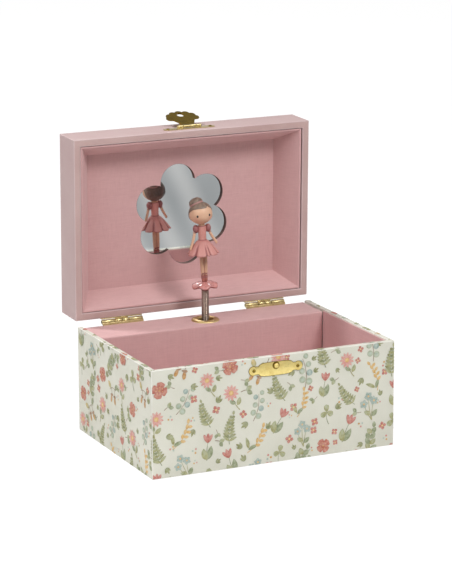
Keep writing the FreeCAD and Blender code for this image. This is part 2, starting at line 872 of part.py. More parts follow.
def base_latch():
    """Scalloped plate on the base's front, its catch knob and the base's nails."""
    face = -half_depth
    plate_y = (face - s.latch_plate, face)
    end_x = s.latch_end_spacing / 2
    lens_half = s.latch_lens_width / 2
    lens_rise = s.latch_lens_height / 2
    lens_radius = (lens_half * lens_half + lens_rise * lens_rise) / s.latch_lens_height
    bow = lens_radius - lens_rise
    upper = rod("latch_lens_upper", "Y", lens_radius, (0, s.latch_height - bow), plate_y)
    lower = rod("latch_lens_lower", "Y", lens_radius, (0, s.latch_height + bow), plate_y)
    lens = doc.addObject("Part::Common", "latch_lens")
    lens.Base = upper
    lens.Tool = lower
    bridge_z = (s.latch_height - s.latch_bridge / 2, s.latch_height + s.latch_bridge / 2)
    shapes = [lens, box("latch_bridge", (-end_x, end_x), plate_y, bridge_z)]
    for index, x in enumerate((-end_x, end_x)):
        shapes.append(rod(f"latch_end_{index}", "Y", s.latch_end_radius, (x, s.latch_height), plate_y))
    holes = [
        hole(f"latch_plate_hole_{index}", x, s.latch_height, s.nail_radius, plate_y)
        for index, x in enumerate(latch_nails)
    ]
    holes.append(hole("latch_knob_hole", 0, knob_z, s.knob_stem_radius, plate_y))
    keep("latch_plate", cut("latch_plate", fuse("latch_blank", shapes), holes))

    head_y = face - s.latch_plate - s.knob_reach
    stem = rod("knob_stem", "Y", s.knob_stem_radius, (0, knob_z), (head_y, face + s.knob_stem_depth))
    head = ellipsoid("knob_head", [s.knob_radius] * 3, (0, head_y, knob_z))
    keep("catch_knob", fuse("catch_knob", [stem, head]))

    nails = [
        nail(f"latch_nail_{index}", x, s.latch_height, plate_y[0], 1)
        for index, x in enumerate(latch_nails)
    ]
    nails += [
        nail(f"hinge_nail_{index}", x, hinge_nail_z, half_depth + s.hinge_leaf, -1)
        for index, x in enumerate(hinge_nails)
    ]
    keep("base_nails", fuse("base_nails", nails))


def lid_latch():
    """Hasp plate on the lid's front wall with its pin, and the lid's nails."""
    axis_y = lid_front - s.hasp_axis_out
    axis_z = lid_rim + s.hasp_axis_rise
    plate_y = (lid_front - s.latch_plate, lid_front)
    plate_low = lid_rim + s.hasp_plate_rise
    plate_z = (plate_low, plate_low + s.hasp_plate_height)
    end_x = s.hasp_plate_length / 2
    shapes = [box("hasp_plate_strip", (-end_x, end_x), plate_y, plate_z)]
    for index, x in enumerate((-end_x, end_x)):
        radius = s.hasp_plate_height / 2
        shapes.append(rod(f"hasp_plate_end_{index}", "Y", radius, (x, hasp_plate_z), plate_y))
    barrel = s.hasp_barrel_length / 2
    inner = s.hasp_knuckle_length / 2 + s.knuckle_gap
    for index, ends in enumerate(((-barrel, -inner), (inner, barrel))):
        shapes.append(rod(f"hasp_plate_knuckle_{index}", "X", s.hasp_barrel_radius, (axis_y, axis_z), ends))
        web_z = (axis_z - s.latch_plate, axis_z + s.latch_plate)
        shapes.append(box(f"hasp_plate_web_{index}", ends, (axis_y, lid_front), web_z))
    bore = s.hasp_pin_radius + s.running_fit
    holes = [rod("hasp_plate_bore", "X", bore, (axis_y, axis_z), (-barrel, barrel))]
    holes += [
        hole(f"hasp_plate_hole_{index}", x, hasp_plate_z, s.nail_radius, plate_y)
        for index, x in enumerate(latch_nails)
    ]
    plate = cut("hasp_plate", fuse("hasp_plate_blank", shapes), holes)
    open_with_lid(plate)
    keep("hasp_plate", plate)

    pin = make_body("hasp_pin")
    drawing = sketch_on(pin, "hasp_pin_section", "YZ_Plane", -barrel)
    draw_circle(drawing, (axis_y, axis_z), s.hasp_pin_radius)
    pad(pin, "hasp_pin_pad", drawing, s.hasp_barrel_length)
    open_with_lid(pin)
    keep("hasp_pin", pin)

    nails = [
        nail(f"hasp_nail_{index}", x, hasp_plate_z, plate_y[0], 1)
        for index, x in enumerate(latch_nails)
    ]
    nails += [
        nail(f"lid_nail_{index}", x, lid_nail_z, lid_back + s.hinge_leaf, -1)
        for index, x in enumerate(hinge_nails)
    ]
    lid_nails = fuse("lid_nails", nails)
    open_with_lid(lid_nails)
    keep("lid_nails", lid_nails)


def hasp():
    """Shell-shaped hasp, built hanging from its pin and then swung up and back."""
    sheet_y = (-s.hasp_sheet / 2, s.hasp_sheet / 2)
    lobes = []
    for index in range(int(s.hasp_lobes.value)):
        angle = 180 + as_size(index) * 180 / (s.hasp_lobes - 1)
        x = s.hasp_lobe_spread * cos_of(angle)
        lobes.append((x, s.hasp_lobe_depth * sin_of(angle) - s.hasp_lobe_drop))
    shell = make_body("hasp_shell")
    drawing = sketch_on(shell, "shell_outline", "XZ_Plane", -s.hasp_sheet / 2)
    root = s.hasp_root / 2
    root_z = -s.hasp_barrel_radius / 2
    left_root = [(-root, root_z), (-root, -s.hasp_neck)]
    right_root = [(root, -s.hasp_neck), (root, root_z)]
    draw_outline(drawing, left_root + lobes + right_root)
    pad(shell, "shell_pad", drawing, s.hasp_sheet)
    knuckle = (-s.hasp_knuckle_length / 2, s.hasp_knuckle_length / 2)
    shapes = [shell, rod("hasp_knuckle", "X", s.hasp_barrel_radius, (0, 0), knuckle)]
    for index, (x, z) in enumerate(lobes):
        shapes.append(rod(f"hasp_lobe_{index}", "Y", s.hasp_lobe_radius, (x, z), sheet_y))
    holes = [
        rod("hasp_hole", "Y", s.hasp_hole_radius, (0, -s.hasp_hole_drop), sheet_y),
        rod("hasp_bore", "X", s.hasp_pin_radius + s.running_fit, (0, 0), knuckle),
    ]
    flap = cut("hasp", fuse("hasp_blank", shapes), holes)
    axis_y = lid_front - s.hasp_axis_out
    axis_z = lid_rim + s.hasp_axis_rise
    open_with_lid(flap, 0, axis_y, axis_z)
    turn_about(flap, Vector(1, 0, 0), 360 - s.lid_open - s.hasp_rest)
    keep("hasp", flap)


def biarc(start, start_way, end, end_way):
    """Two arcs that join two points and meet both directions smoothly."""
    chord = end - start
    ways = start_way + end_way
    spread = 1 - start_way.dot(end_way)
    along = chord.dot(ways)
    if spread < 1e-9:
        reach = chord.dot(chord) / (2 * along)
    else:
        root = math.sqrt(along ** 2 + 2 * spread * chord.dot(chord))
        reach = (root - along) / (2 * spread)
    first = start + start_way * reach
    second = end - end_way * reach
    joint = (first + second) * 0.5
    edges = []
    for low, control, high in ((start, first, joint), (joint, second, end)):
        middle = (low + high) * 0.5
        rise = control - middle
        half = (high - low).Length / 2
        sag = half * math.tan(math.atan2(rise.Length, half) / 2)
        edges.append(Part.Arc(low, middle + rise.normalize() * sag, high).toShape())
    return edges


def spring_least_gap(path, wire):
    """Least gap between turns, measured on points along the path."""
    points = []
    for edge in path.Edges:
        points.extend(edge.discretize(ARC_POINT_COUNT + 1)[:-1])
    apart = ARC_POINT_COUNT * HALF_TURN_ARC_COUNT
    least = min(
        (points[late] - points[early]).Length
        for early in range(len(points))
        for late in range(early + apart, len(points))
    )
    return least - wire


def spring_post():
    """Wound steel spring between the spindle's seat and the pedestal, in one unbroken tube."""
    coil = s.spring_coil_radius.value
    wire = s.spring_wire.value
    pitch = s.spring_pitch.value
    quarters = 4 * int(s.spring_turns.value)
    low = (seat_top + s.spring_end_gap).value
    high = pedestal_z.value - s.spring_end_gap.value
    lead_rise = (high - low - 2 * wire - quarters * pitch / 4) / 2
    up = Vector(0, 0, 1)

    def on_coil(quarter, height):
        angle = math.radians(90 * quarter)
        return Vector(coil * math.cos(angle), coil * math.sin(angle), height)

    def coil_way(quarter):
        angle = math.radians(90 * quarter)
        slope = pitch / (2 * math.pi * coil)
        way = Vector(-math.sin(angle), math.cos(angle), slope)
        return way.normalize()

    stations = [(on_coil(-1, low + wire), up)]
    for quarter in range(quarters + 1):
        height = low + wire + lead_rise + quarter * pitch / 4
        stations.append((on_coil(quarter, height), coil_way(quarter)))
    stations.append((on_coil(quarters + 1, high - wire), up))
    edges = [Part.LineSegment(stations[0][0] - up * wire, stations[0][0]).toShape()]
    for (start, start_way), (end, end_way) in zip(stations, stations[1:]):
        edges += biarc(start, start_way, end, end_way)
    edges.append(Part.LineSegment(stations[-1][0], stations[-1][0] + up * wire).toShape())
    path = Part.Wire(edges)
    foot = edges[0].Vertexes[0].Point
    section = Part.Wire([Part.makeCircle(wire / 2, foot, up)])
    shell = Part.BRepOffsetAPI.MakePipeShell(path)
    shell.add(section)
    shell.build()
    shell.makeSolid()
    spring = doc.addObject("Part::Feature", "post_spring")
    spring.Shape = shell.shape()
    spring.Placement = Placement(Vector(0, post_y.value, 0), Rotation())
    print("spring least gap", round(spring_least_gap(path, wire), 3))
    print("spring volume ratio", round(spring.Shape.Volume / (path.Length * math.pi * wire ** 2 / 4), 4))
    keep("post_spring", spring)


def stand_figure(label, thing):
    """Carry an object built about the figure's own axis to the leaning figure."""
    turn_about(thing, Vector(0, -1, 0), s.figure_lean)
    put(thing, 0, post_y, pedestal_z)
    keep(label, thing)


def slanted_cone(name, radii, start, end):
    """A tapered bar from one point to another; radii are those at its start and end."""
    run = [as_size(high) - low for low, high in zip(start, end)]
    way = Vector(*[part.value for part in run])
    square = run[0] * run[0] + run[1] * run[1] + run[2] * run[2]
    taper = doc.addObject("Part::Cone", name)
    taper.Placement = Placement(Vector(), Rotation(Vector(0, 0, 1), way))
    bind(taper, "Radius1", radii[0])
    bind(taper, "Radius2", radii[1])
    bind(taper, "Height", Size(way.Length, f"sqrt({square.formula})"))
    put(taper, *start)
    return taper


def flower_pedestal():
    """Six drooping petals round a hub, with a peg that goes down into the spring."""
    petals = []
    for index in range(int(s.petal_count.value)):
        bearing = as_size(index) * 360 / s.petal_count
        radii = (s.petal_length, s.petal_width, s.petal_thickness)
        petal = ellipsoid(f"petal_{index}", radii, (0, 0, 0))
        droop = Rotation(Vector(0, 1, 0), s.petal_droop.value)
        petal.Placement = Placement(Vector(), Rotation(Vector(0, 0, 1), bearing.value).multiply(droop))
        put(petal, s.petal_orbit * cos_of(bearing), s.petal_orbit * sin_of(bearing), s.petal_height)
        petals.append(petal)
    hub_radii = (s.pedestal_hub_radius, s.leg_spread + s.leg_foot_radius)
    hub = cone("pedestal_hub", hub_radii, (0, 0), (0, s.pedestal_height))
    peg = rod("pedestal_peg", "Z", s.spigot_radius, (0, 0), (-s.spigot_length / 2, s.pedestal_height / 2))
    stand_figure("flower_pedestal", fuse_in_turn("pedestal", [hub, peg] + petals))


def skirt():
    """Flared skirt with rounded pleats, hollow underneath."""
    blank = make_body("skirt_blank")
    count = int(s.pleat_count.value)
    rings = []
    heights = {"waist": (s.waist_height, s.waist_radius), "hem": (s.hem_height, s.hem_radius)}
    for name, (height, radius) in heights.items():
        orbit = radius * s.pleat_share
        ring = sketch_on(blank, name + "_outline", "XY_Plane", height)
        bearings = [(as_size(index) + 0.5) * 360 / s.pleat_count for index in range(count)]
        pleats = [(orbit * cos_of(bearing), orbit * sin_of(bearing)) for bearing in bearings]
        draw_lobed_ring(ring, (0, 0), pleats, radius - orbit)
        rings.append(ring)
    loft(blank, "skirt_flare", rings)
    under_z = (s.hem_height, s.waist_height - s.skirt_wall * 2)
    valley = s.hem_radius * s.valley_share
    under = cone("skirt_under", (valley - s.skirt_wall, s.leg_spread), (0, 0), under_z)
    return cut("skirt", blank, [under])


def doll():
    """One moulded figure: bodice, puff sleeves, arms, head and bun, legs together and skirt."""
    bodice_radii = (s.waist_radius, s.shoulder_radius)
    bodice_z = (s.waist_height - s.skirt_wall, s.shoulder_height)
    shapes = [cone("bodice", bodice_radii, (0, 0), bodice_z)]
    for index, side in enumerate((-1, 1)):
        sleeve_radii = (s.sleeve_radius, s.sleeve_radius, s.sleeve_half_height)
        sleeve_at = (side * s.sleeve_spread, 0, s.sleeve_height)
        shapes.append(ellipsoid(f"sleeve_{index}", sleeve_radii, sleeve_at))
        hand = (side * s.hand_spread, 0, s.hand_height)
        shapes.append(slanted_cone(f"arm_{index}", (s.arm_radius, s.arm_radius), hand, sleeve_at))
    shapes.append(rod("neck", "Z", s.neck_radius, (0, 0), (s.waist_height, s.head_height)))
    head_radii = (s.head_radius_x, s.head_radius_y, s.head_radius_z)
    shapes.append(ellipsoid("head", head_radii, (0, 0, s.head_height)))
    bun_radii = (s.bun_radius, s.bun_radius, s.bun_half_height)
    shapes.append(ellipsoid("bun", bun_radii, (0, s.bun_setback, s.bun_height)))
    for index, side in enumerate((-1, 1)):
        leg_radii = (s.leg_foot_radius, s.leg_hip_radius)
        leg_z = (s.pedestal_height, s.waist_height)
        shapes.append(cone(f"leg_{index}", leg_radii, (side * s.leg_spread, 0), leg_z))
    shapes.append(skirt())
    stand_figure("doll", fuse_in_turn("doll", shapes))


def bedplate():
    """Cast plate on the back wall with two bearing ears and a land for the comb."""
    ear_z = (movement_z - s.ear_reach, governor_z + s.ear_reach)
    ear_y = (post_y - s.ear_reach, bed_face)
    left_x = (left_ear - s.ear, left_ear)
    right_x = (right_ear - s.ear, right_ear)
    land_y = (comb_face + s.comb_plate, bed_face)
    shapes = [
        box("bed_blank", (bed_left, bed_right), (bed_face, inner_y), (bed_bottom, bed_top)),
        box("left_ear", left_x, ear_y, ear_z),
        box("right_ear", right_x, ear_y, ear_z),
        box("comb_boss", (cylinder_left, cylinder_right), land_y, (comb_foot, comb_root)),
    ]
    ear_span = (left_ear - s.ear, right_ear)
    bores = [
        rod("axle_bore", "X", s.axle_radius + s.running_fit, (post_y, movement_z), ear_span),
        rod("governor_bore", "X", s.governor_shaft_radius + s.running_fit, (post_y, governor_z), ear_span),
        rod("arbor_bore", "Y", s.arbor_radius + s.running_fit, (barrel_x, movement_z), (bed_face, inner_y)),
    ]
    for index, (x, z) in enumerate(bed_screws + bracket_screws):
        bores.append(hole(f"bed_hole_{index}", x, z, s.screw_radius, (bed_face, inner_y)))
    for index, (x, z) in enumerate(comb_screws):
        bores.append(hole(f"land_hole_{index}", x, z, s.screw_radius, land_y))
    keep("bedplate", cut("bedplate", fuse("bed_casting", shapes), bores))


def comb():
    """Steel comb with a row of tines that end just short of the cylinder's pins."""
    body = make_body("comb")
    face = -(comb_face + s.comb_plate)
    drawing = sketch_on(body, "comb_outline", "XZ_Plane", face)
    draw_rectangle(drawing, (cylinder_left, cylinder_right), (comb_foot, comb_tip))
    pad(body, "comb_pad", drawing, s.comb_plate)
    holes = sketch_on(body, "comb_hole_outline", "XZ_Plane", face)
    for centre in comb_screws:
        draw_circle(holes, centre, s.screw_radius + s.running_fit)
    pocket(body, "comb_holes", holes, s.comb_plate, reverse=True)
    pitch = s.cylinder_length / s.tine_count
    slot_x = cylinder_left + pitch - s.tine_slot / 2
    slot = sketch_on(body, "slot_outline", "XZ_Plane", face)
    draw_rectangle(slot, (slot_x, slot_x + s.tine_slot), (comb_root, comb_tip + s.tine_gap))
    first = pocket(body, "first_slot", slot, s.comb_plate, reverse=True)
    doc.recompute()
    slots = body.newObject("PartDesign::LinearPattern", "slots")
    slots.Originals = [first]
    slots.Direction = (origin_feature(body, "X_Axis"), [""])
    bind(slots, "Length", pitch * (s.tine_count - 2))
    bind(slots, "Occurrences", s.tine_count - 1)
    body.Tip = slots
    keep("comb", body)


def movement_screws():
    """Equal screws that hold the bedplate, the spindle bracket and the comb."""
    places = [(x, z, bed_face) for x, z in bed_screws]
    places += [(x, z, foot_face) for x, z in bracket_screws]
    places += [(x, z, comb_face) for x, z in comb_screws]
    screws = [screw(f"screw_{index}", x, z, face) for index, (x, z, face) in enumerate(places)]
    keep("movement_screws", fuse("movement_screws", screws))


def tooth_half_widths(module):
    """Half widths of a tooth at its root and its tip."""
    middle = module * math.pi * TOOTH_SHARE / 2
    root = middle + module * TOOTH_DEDENDUM * PRESSURE_SLOPE
    tip = middle - module * TOOTH_ADDENDUM * PRESSURE_SLOPE
    return root, tip


def spur_teeth(body, name, module, teeth, bottom, width, bore):
    """A disc with teeth round it, about Z, with one tooth towards +Y."""
    pitch_radius = module * teeth / 2
    root_radius = pitch_radius - module * TOOTH_DEDENDUM
    tip_radius = pitch_radius + module * TOOTH_ADDENDUM
    root, tip = tooth_half_widths(module)
    disc = sketch_on(body, name + "_disc_outline", "XY_Plane", bottom)
    draw_circle(disc, (0, 0), root_radius)
    if bore is not None:
        draw_circle(disc, (0, 0), bore)
    pad(body, name + "_disc", disc, width)
    outline = sketch_on(body, name + "_tooth_outline", "XY_Plane", bottom)
    sunk = root_radius - module * TOOTH_ADDENDUM / 2
    draw_outline(outline, [(-root, sunk), (root, sunk), (tip, tip_radius), (-tip, tip_radius)])
    tooth = pad(body, name + "_tooth", outline, width)
    doc.recompute()
    return repeat_round(body, name + "_teeth", tooth, "Z_Axis", teeth)


def crown_teeth(body, name, module, teeth, length):
    """Teeth that stand up from the plane Z = 0 round a ring, with one tooth towards +X."""
    pitch_radius = module * teeth / 2
    root, tip = tooth_half_widths(module)
    height = module * (TOOTH_ADDENDUM + TOOTH_DEDENDUM)
    outline = sketch_on(body, name + "_tooth_outline", "YZ_Plane", pitch_radius - length / 2)
    sunk = -module * TOOTH_ADDENDUM / 2
    draw_outline(outline, [(-root, sunk), (root, sunk), (tip, height), (-tip, height)])
    tooth = pad(body, name + "_tooth", outline, length)
    doc.recompute()
    return repeat_round(body, name + "_teeth", tooth, "Z_Axis", teeth)


def lay_along_x(thing, phase, x, y, z):
    """Turn an object built about Z so that it lies along X, with a phase about that axis."""
    turned = Rotation(Vector(1, 0, 0), phase).multiply(AXIS_TURN["X"])
    thing.Placement = Placement(Vector(), turned)
    put(thing, x, y, z)


def cylinder():
    """Pinned cylinder, its axle, two pinions and the wheel that drives the governor."""
    axle_x = (pinion_left, s.pinion_width / 2 - spindle_pitch)
    keep("cylinder_axle", rod("cylinder_axle", "X", s.axle_radius, (post_y, movement_z), axle_x))
    bore = s.axle_radius + s.running_fit

    drum = make_body("cylinder")
    section = sketch_on(drum, "drum_outline", "XY_Plane")
    draw_circle(section, (0, 0), s.cylinder_radius)
    draw_circle(section, (0, 0), bore)
    pad(drum, "drum", section, s.cylinder_length)
    step = s.cylinder_length / s.tine_count
    rows = {"low_row": ("YZ_Plane", (1, 4, 8, 11, 15)), "high_row": ("XZ_Plane", (2, 6, 9, 13))}
    for name, (role, tracks) in rows.items():
        sunk = s.cylinder_radius - s.tune_pin_height
        row_of_pins = sketch_on(drum, name + "_outline", role, sunk)
        for track in tracks:
            draw_circle(row_of_pins, (0, step * (track + 0.5)), s.tune_pin_radius)
        pins = pad(drum, name, row_of_pins, s.tune_pin_height * 2)
        doc.recompute()
        repeat_round(drum, name + "_pins", pins, "Z_Axis", s.tune_pin_rows)
    lay_along_x(drum, 0, cylinder_left, post_y, movement_z)
    keep("cylinder", drum)

    half_step = 180 / s.pinion_teeth.value
    spindle_side = -spindle_pitch - s.pinion_width / 2
    for label, left in (("drive_pinion", pinion_left), ("spindle_pinion", spindle_side)):
        pinion = make_body(label)
        spur_teeth(pinion, label, s.crown_module, s.pinion_teeth, 0, s.pinion_width, bore)
        lay_along_x(pinion, half_step, left, post_y, movement_z)
        keep(label, pinion)

    wheel = make_body("governor_wheel")
    width = s.governor_wheel_width
    spur_teeth(wheel, "governor_wheel", s.governor_module, s.governor_wheel_teeth, 0, width, bore)
    lay_along_x(wheel, 0, wheel_left, post_y, movement_z)
    keep("governor_wheel", wheel)


def governor():
    """Governor shaft with its pinion, and the fan that slows the movement."""
    shaft = make_body("governor_shaft")
    width = s.governor_wheel_width
    start = wheel_left - (left_ear - s.ear)
    spur_teeth(shaft, "governor_pinion", s.governor_module, s.governor_pinion_teeth, start, width, None)
    section = sketch_on(shaft, "governor_shaft_section", "XY_Plane")
    draw_circle(section, (0, 0), s.governor_shaft_radius)
    pad(shaft, "governor_shaft_pad", section, right_ear - left_ear + s.ear)
    half_step = 180 / s.governor_pinion_teeth.value
    lay_along_x(shaft, half_step, left_ear - s.ear, post_y, governor_z)
    keep("governor_shaft", shaft)

    fan_x = (comb_middle - s.fan_length / 2, comb_middle + s.fan_length / 2)
    half = s.fan_sheet / 2
    blade_y = (post_y - half, post_y + half)
    blade_z = (governor_z - s.fan_radius, governor_z + s.fan_radius)
    blade = box("fan_blade", fan_x, blade_y, blade_z)
    collar = rod("fan_collar", "X", s.fan_radius / 2, (post_y, governor_z), fan_x)
    bore = rod("fan_bore", "X", s.governor_shaft_radius + s.running_fit, (post_y, governor_z), fan_x)
    keep("governor_fan", cut("governor_fan", fuse("fan_blank", [blade, collar]), [bore]))


def barrel():
    """Spring barrel with crown teeth, its cap, the mainspring, the arbor and the key."""
    root_plane = post_y + pinion_pitch + s.crown_module * TOOTH_DEDENDUM
    drum_back = bed_face - s.bed_clearance
    depth = drum_back - root_plane
    outer = barrel_pitch + s.barrel_lip
    cavity = outer - s.barrel_wall
    bore = s.arbor_radius + s.running_fit
    drum = make_body("spring_barrel")
    revolve(drum, "barrel_cup", [
        (bore, 0),
        (outer, 0),
        (outer, -depth),
        (cavity, -depth),
        (cavity, -s.barrel_floor),
        (bore, -s.barrel_floor),
    ])
    crown_teeth(drum, "barrel_crown", s.crown_module, s.barrel_teeth, s.crown_tooth_length)
    turn_about(drum, Vector(1, 0, 0), 90)
    put(drum, barrel_x, root_plane, movement_z)
    keep("spring_barrel", drum)

    cap_y = (drum_back - s.cap_thickness, drum_back)
    cap = rod("cap_disc", "Y", cavity - s.running_fit, (barrel_x, movement_z), cap_y)
    cap_bore = rod("cap_bore", "Y", bore, (barrel_x, movement_z), cap_y)
    keep("barrel_cap", cut("barrel_cap", cap, [cap_bore]))

    strip_y = (root_plane + s.barrel_floor + s.mainspring_side_gap, cap_y[0] - s.mainspring_side_gap)
    mainspring(cavity - s.running_fit, strip_y)

    arbor_y = (root_plane, half_depth + s.arbor_tail)
    keep("winding_arbor", rod("winding_arbor", "Y", s.arbor_radius, (barrel_x, movement_z), arbor_y))

    hub_y = (half_depth + s.key_wall_gap, half_depth + s.key_wall_gap + s.key_hub_length)
    sheet_z = (movement_z - s.key_sheet / 2, movement_z + s.key_sheet / 2)
    lobe_y = half_depth + s.key_lobe_reach
    spread = s.key_lobe_spread
    shapes = [rod("key_hub", "Y", s.key_hub_radius, (barrel_x, movement_z), hub_y)]
    bridge_y = (hub_y[1] - s.key_sheet, lobe_y + s.key_lobe_radius / 2)
    shapes.append(box("key_bridge", (barrel_x - spread, barrel_x + spread), bridge_y, sheet_z))
    holes = [rod("key_bore", "Y", bore, (barrel_x, movement_z), (hub_y[0], arbor_y[1]))]
    for index, side in enumerate((-1, 1)):
        centre = (barrel_x + side * spread, lobe_y)
        shapes.append(rod(f"key_lobe_{index}", "Z", s.key_lobe_radius, centre, sheet_z))
        holes.append(rod(f"key_eye_{index}", "Z", s.key_eye_radius, centre, sheet_z))
    keep("winding_key", cut("winding_key", fuse("key_blank", shapes), holes))


def mainspring(outer, ends):
    """Flat strip wound in half circles from the barrel's wall in towards the arbor."""
    strip = s.mainspring_strip.value
    turns = int(s.mainspring_turns.value)
    inner = s.arbor_radius.value + strip * 2
    step = (outer.value - inner) / (2 * turns)
    faces = []
    for shift in (0, strip):
        edges = []
        radius = outer.value - shift
        centre = 0
        side = 1
        for half_turn in range(2 * turns):
            start = Vector(centre + side * radius, 0, 0)
            middle = Vector(centre, side * radius, 0)
            end = Vector(centre - side * radius, 0, 0)
            edges.append(Part.Arc(start, middle, end).toShape())
            centre = centre - side * step / 2
            radius = radius - step / 2
            side = -side
        faces.append(edges)
    first = Part.LineSegment(faces[0][0].Vertexes[0].Point, faces[1][0].Vertexes[0].Point).toShape()
    last = Part.LineSegment(faces[0][-1].Vertexes[-1].Point, faces[1][-1].Vertexes[-1].Point).toShape()
    outline = Part.Wire(Part.__sortEdges__(faces[0] + [last] + faces[1] + [first]))
    width = (ends[1] - ends[0]).value
    spiral = doc.addObject("Part::Feature", "mainspring")
    spiral.Shape = Part.Face(outline).extrude(Vector(0, 0, width))
    spiral.Placement = Placement(
        Vector(barrel_x.value, ends[0].value, movement_z.value), Rotation(Vector(1, 0, 0), -90)
    )
    keep("mainspring", spiral)


def spindle():
    """Upright spindle with its crown wheel, and the bracket that carries it."""
    root_plane = movement_z + pinion_pitch + s.crown_module * TOOTH_DEDENDUM
    collar_low = bracket_top + s.running_fit
    flange = s.spindle_flange_radius
    shaft = make_body("spindle")
    revolve(shaft, "spindle_shaft", [
        (0, root_plane),
        (s.spindle_radius, root_plane),
        (s.spindle_radius, collar_low),
        (flange, collar_low),
        (flange, collar_low + s.spindle_flange),
        (s.spindle_radius, collar_low + s.spindle_flange),
        (s.spindle_radius, seat_top - s.spindle_flange),
        (flange, seat_top - s.spindle_flange),
        (flange, seat_top),
        (s.spigot_radius, seat_top),
        (s.spigot_radius, seat_top + s.spigot_length),
        (0, seat_top + s.spigot_length),
    ])
    put(shaft, 0, post_y, 0)
    keep("spindle", shaft)

    wheel = make_body("spindle_wheel")
    bore = s.spindle_radius + s.running_fit
    rim = spindle_pitch + s.wheel_rim
    revolve(wheel, "wheel_disc", [(bore, 0), (rim, 0), (rim, -s.wheel_disc), (bore, -s.wheel_disc)])
    crown_teeth(wheel, "spindle_crown", s.crown_module, s.spindle_teeth, s.crown_tooth_length)
    wheel.Placement = Placement(Vector(), Rotation(Vector(1, 0, 0), 180))
    put(wheel, 0, post_y, root_plane)
    keep("spindle_wheel", wheel)

    height = (bracket_bottom, bracket_top)
    arm_x = (-s.bracket_half_width, s.bracket_half_width)
    foot_x = (-s.bracket_foot_reach, s.bracket_foot_reach)
    shapes = [
        box("bracket_arm", arm_x, (post_y - s.bracket_nose, bed_face), height),
        box("bracket_foot", foot_x, (foot_face, bed_face), height),
    ]
    bores = [rod("bracket_bore", "Z", s.spindle_radius + s.running_fit, (0, post_y), height)]
    for index, (x, z) in enumerate(bracket_screws):
        bores.append(hole(f"foot_hole_{index}", x, z, s.screw_radius, (foot_face, bed_face)))
    keep("spindle_bracket", cut("spindle_bracket", fuse("bracket_blank", shapes), bores))


def check_and_export():
    """Stop on any failed object, then write each sub-part to its own file."""
    doc.recompute()
    failed = [thing.Label for thing in doc.Objects if {"Invalid", "Error"} & set(thing.State)]
    if failed:
        raise RuntimeError(f"failed: {failed}")
    for label, thing in nodes.items():
        if thing.Shape.isNull() or not thing.Shape.isValid() or not thing.Shape.Solids:
            raise RuntimeError(f"{label} has no valid solid")
    os.makedirs("parts", exist_ok=True)
    for label, thing in nodes.items():
        thing.Shape.exportStep(f"parts/{label}.step")
    print(len(nodes), "sub-parts written")


base_box()
tray_linings()
compartment()
lid_box()
lid_lining()
hinges()
base_latch()
lid_latch()
hasp()
spring_post()
flower_pedestal()
doll()
bedplate()
comb()
movement_screws()
cylinder()
governor()
barrel()
spindle()
check_and_export()
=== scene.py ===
"""Dressed look of a musical jewellery box: printed base, lined lid with a mirror, turning ballerina."""
import json
import logging
import random
from dataclasses import dataclass, field
from enum import Enum
from math import acos, atan2, ceil, cos, degrees, exp, hypot, pi, radians, sin, sqrt
from typing import Any, Callable, Sequence

import bmesh
import bpy
from mathutils import Matrix, Vector

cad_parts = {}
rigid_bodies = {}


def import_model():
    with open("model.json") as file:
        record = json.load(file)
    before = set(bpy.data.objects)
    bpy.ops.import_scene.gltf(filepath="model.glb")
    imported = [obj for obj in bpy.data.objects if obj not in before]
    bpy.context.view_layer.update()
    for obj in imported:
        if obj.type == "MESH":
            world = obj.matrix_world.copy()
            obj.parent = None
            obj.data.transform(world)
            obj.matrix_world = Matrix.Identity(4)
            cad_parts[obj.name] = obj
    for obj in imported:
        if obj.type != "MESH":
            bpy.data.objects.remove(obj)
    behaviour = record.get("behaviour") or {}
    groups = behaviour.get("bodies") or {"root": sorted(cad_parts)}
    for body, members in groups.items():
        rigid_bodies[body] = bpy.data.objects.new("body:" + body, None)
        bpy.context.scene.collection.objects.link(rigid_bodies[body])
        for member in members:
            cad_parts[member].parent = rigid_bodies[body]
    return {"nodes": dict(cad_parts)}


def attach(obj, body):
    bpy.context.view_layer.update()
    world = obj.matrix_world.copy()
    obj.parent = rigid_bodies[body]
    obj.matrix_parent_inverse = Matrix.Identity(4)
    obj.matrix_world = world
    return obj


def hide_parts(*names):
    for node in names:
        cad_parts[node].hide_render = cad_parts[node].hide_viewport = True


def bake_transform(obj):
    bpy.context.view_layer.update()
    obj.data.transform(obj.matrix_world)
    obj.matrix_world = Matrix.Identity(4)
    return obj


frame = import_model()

MM = 0.001
log = logging.getLogger("jewellery_box")

Pair = tuple[float, float]
Triple = tuple[float, float, float]
Colour = tuple[float, float, float, float]
Ring = list[Vector]
Shades = Sequence[Sequence[float]] | None
Piece = bpy.types.Object
Socket = bpy.types.NodeSocket
SIDES = (("left", -1), ("right", 1))


def linear(code: str) -> Colour:
    """Turn a screen colour into a linear shader colour.

    Args:
        code: Colour as it looks on screen, such as "#d8a7a2".

    Returns:
        Red, green, blue and alpha.
    """
    shares = [int(code[start:start + 2], 16) / 255 for start in (1, 3, 5)]
    red, green, blue = (
        share / 12.92 if share <= 0.04045 else ((share + 0.055) / 1.055) ** 2.4 for share in shares
    )
    return red, green, blue, 1.0


def blend_colours(first: Colour, second: Colour, share: float) -> Colour:
    """Mix two linear colours, the first at share 0 and the second at share 1."""
    red, green, blue = (a + (b - a) * share for a, b in zip(first[:3], second[:3]))
    return red, green, blue, 1.0


def smooth(share: float) -> float:
    """Ease a share between 0 and 1."""
    share = min(1.0, max(0.0, share))
    return share * share * (3 - 2 * share)


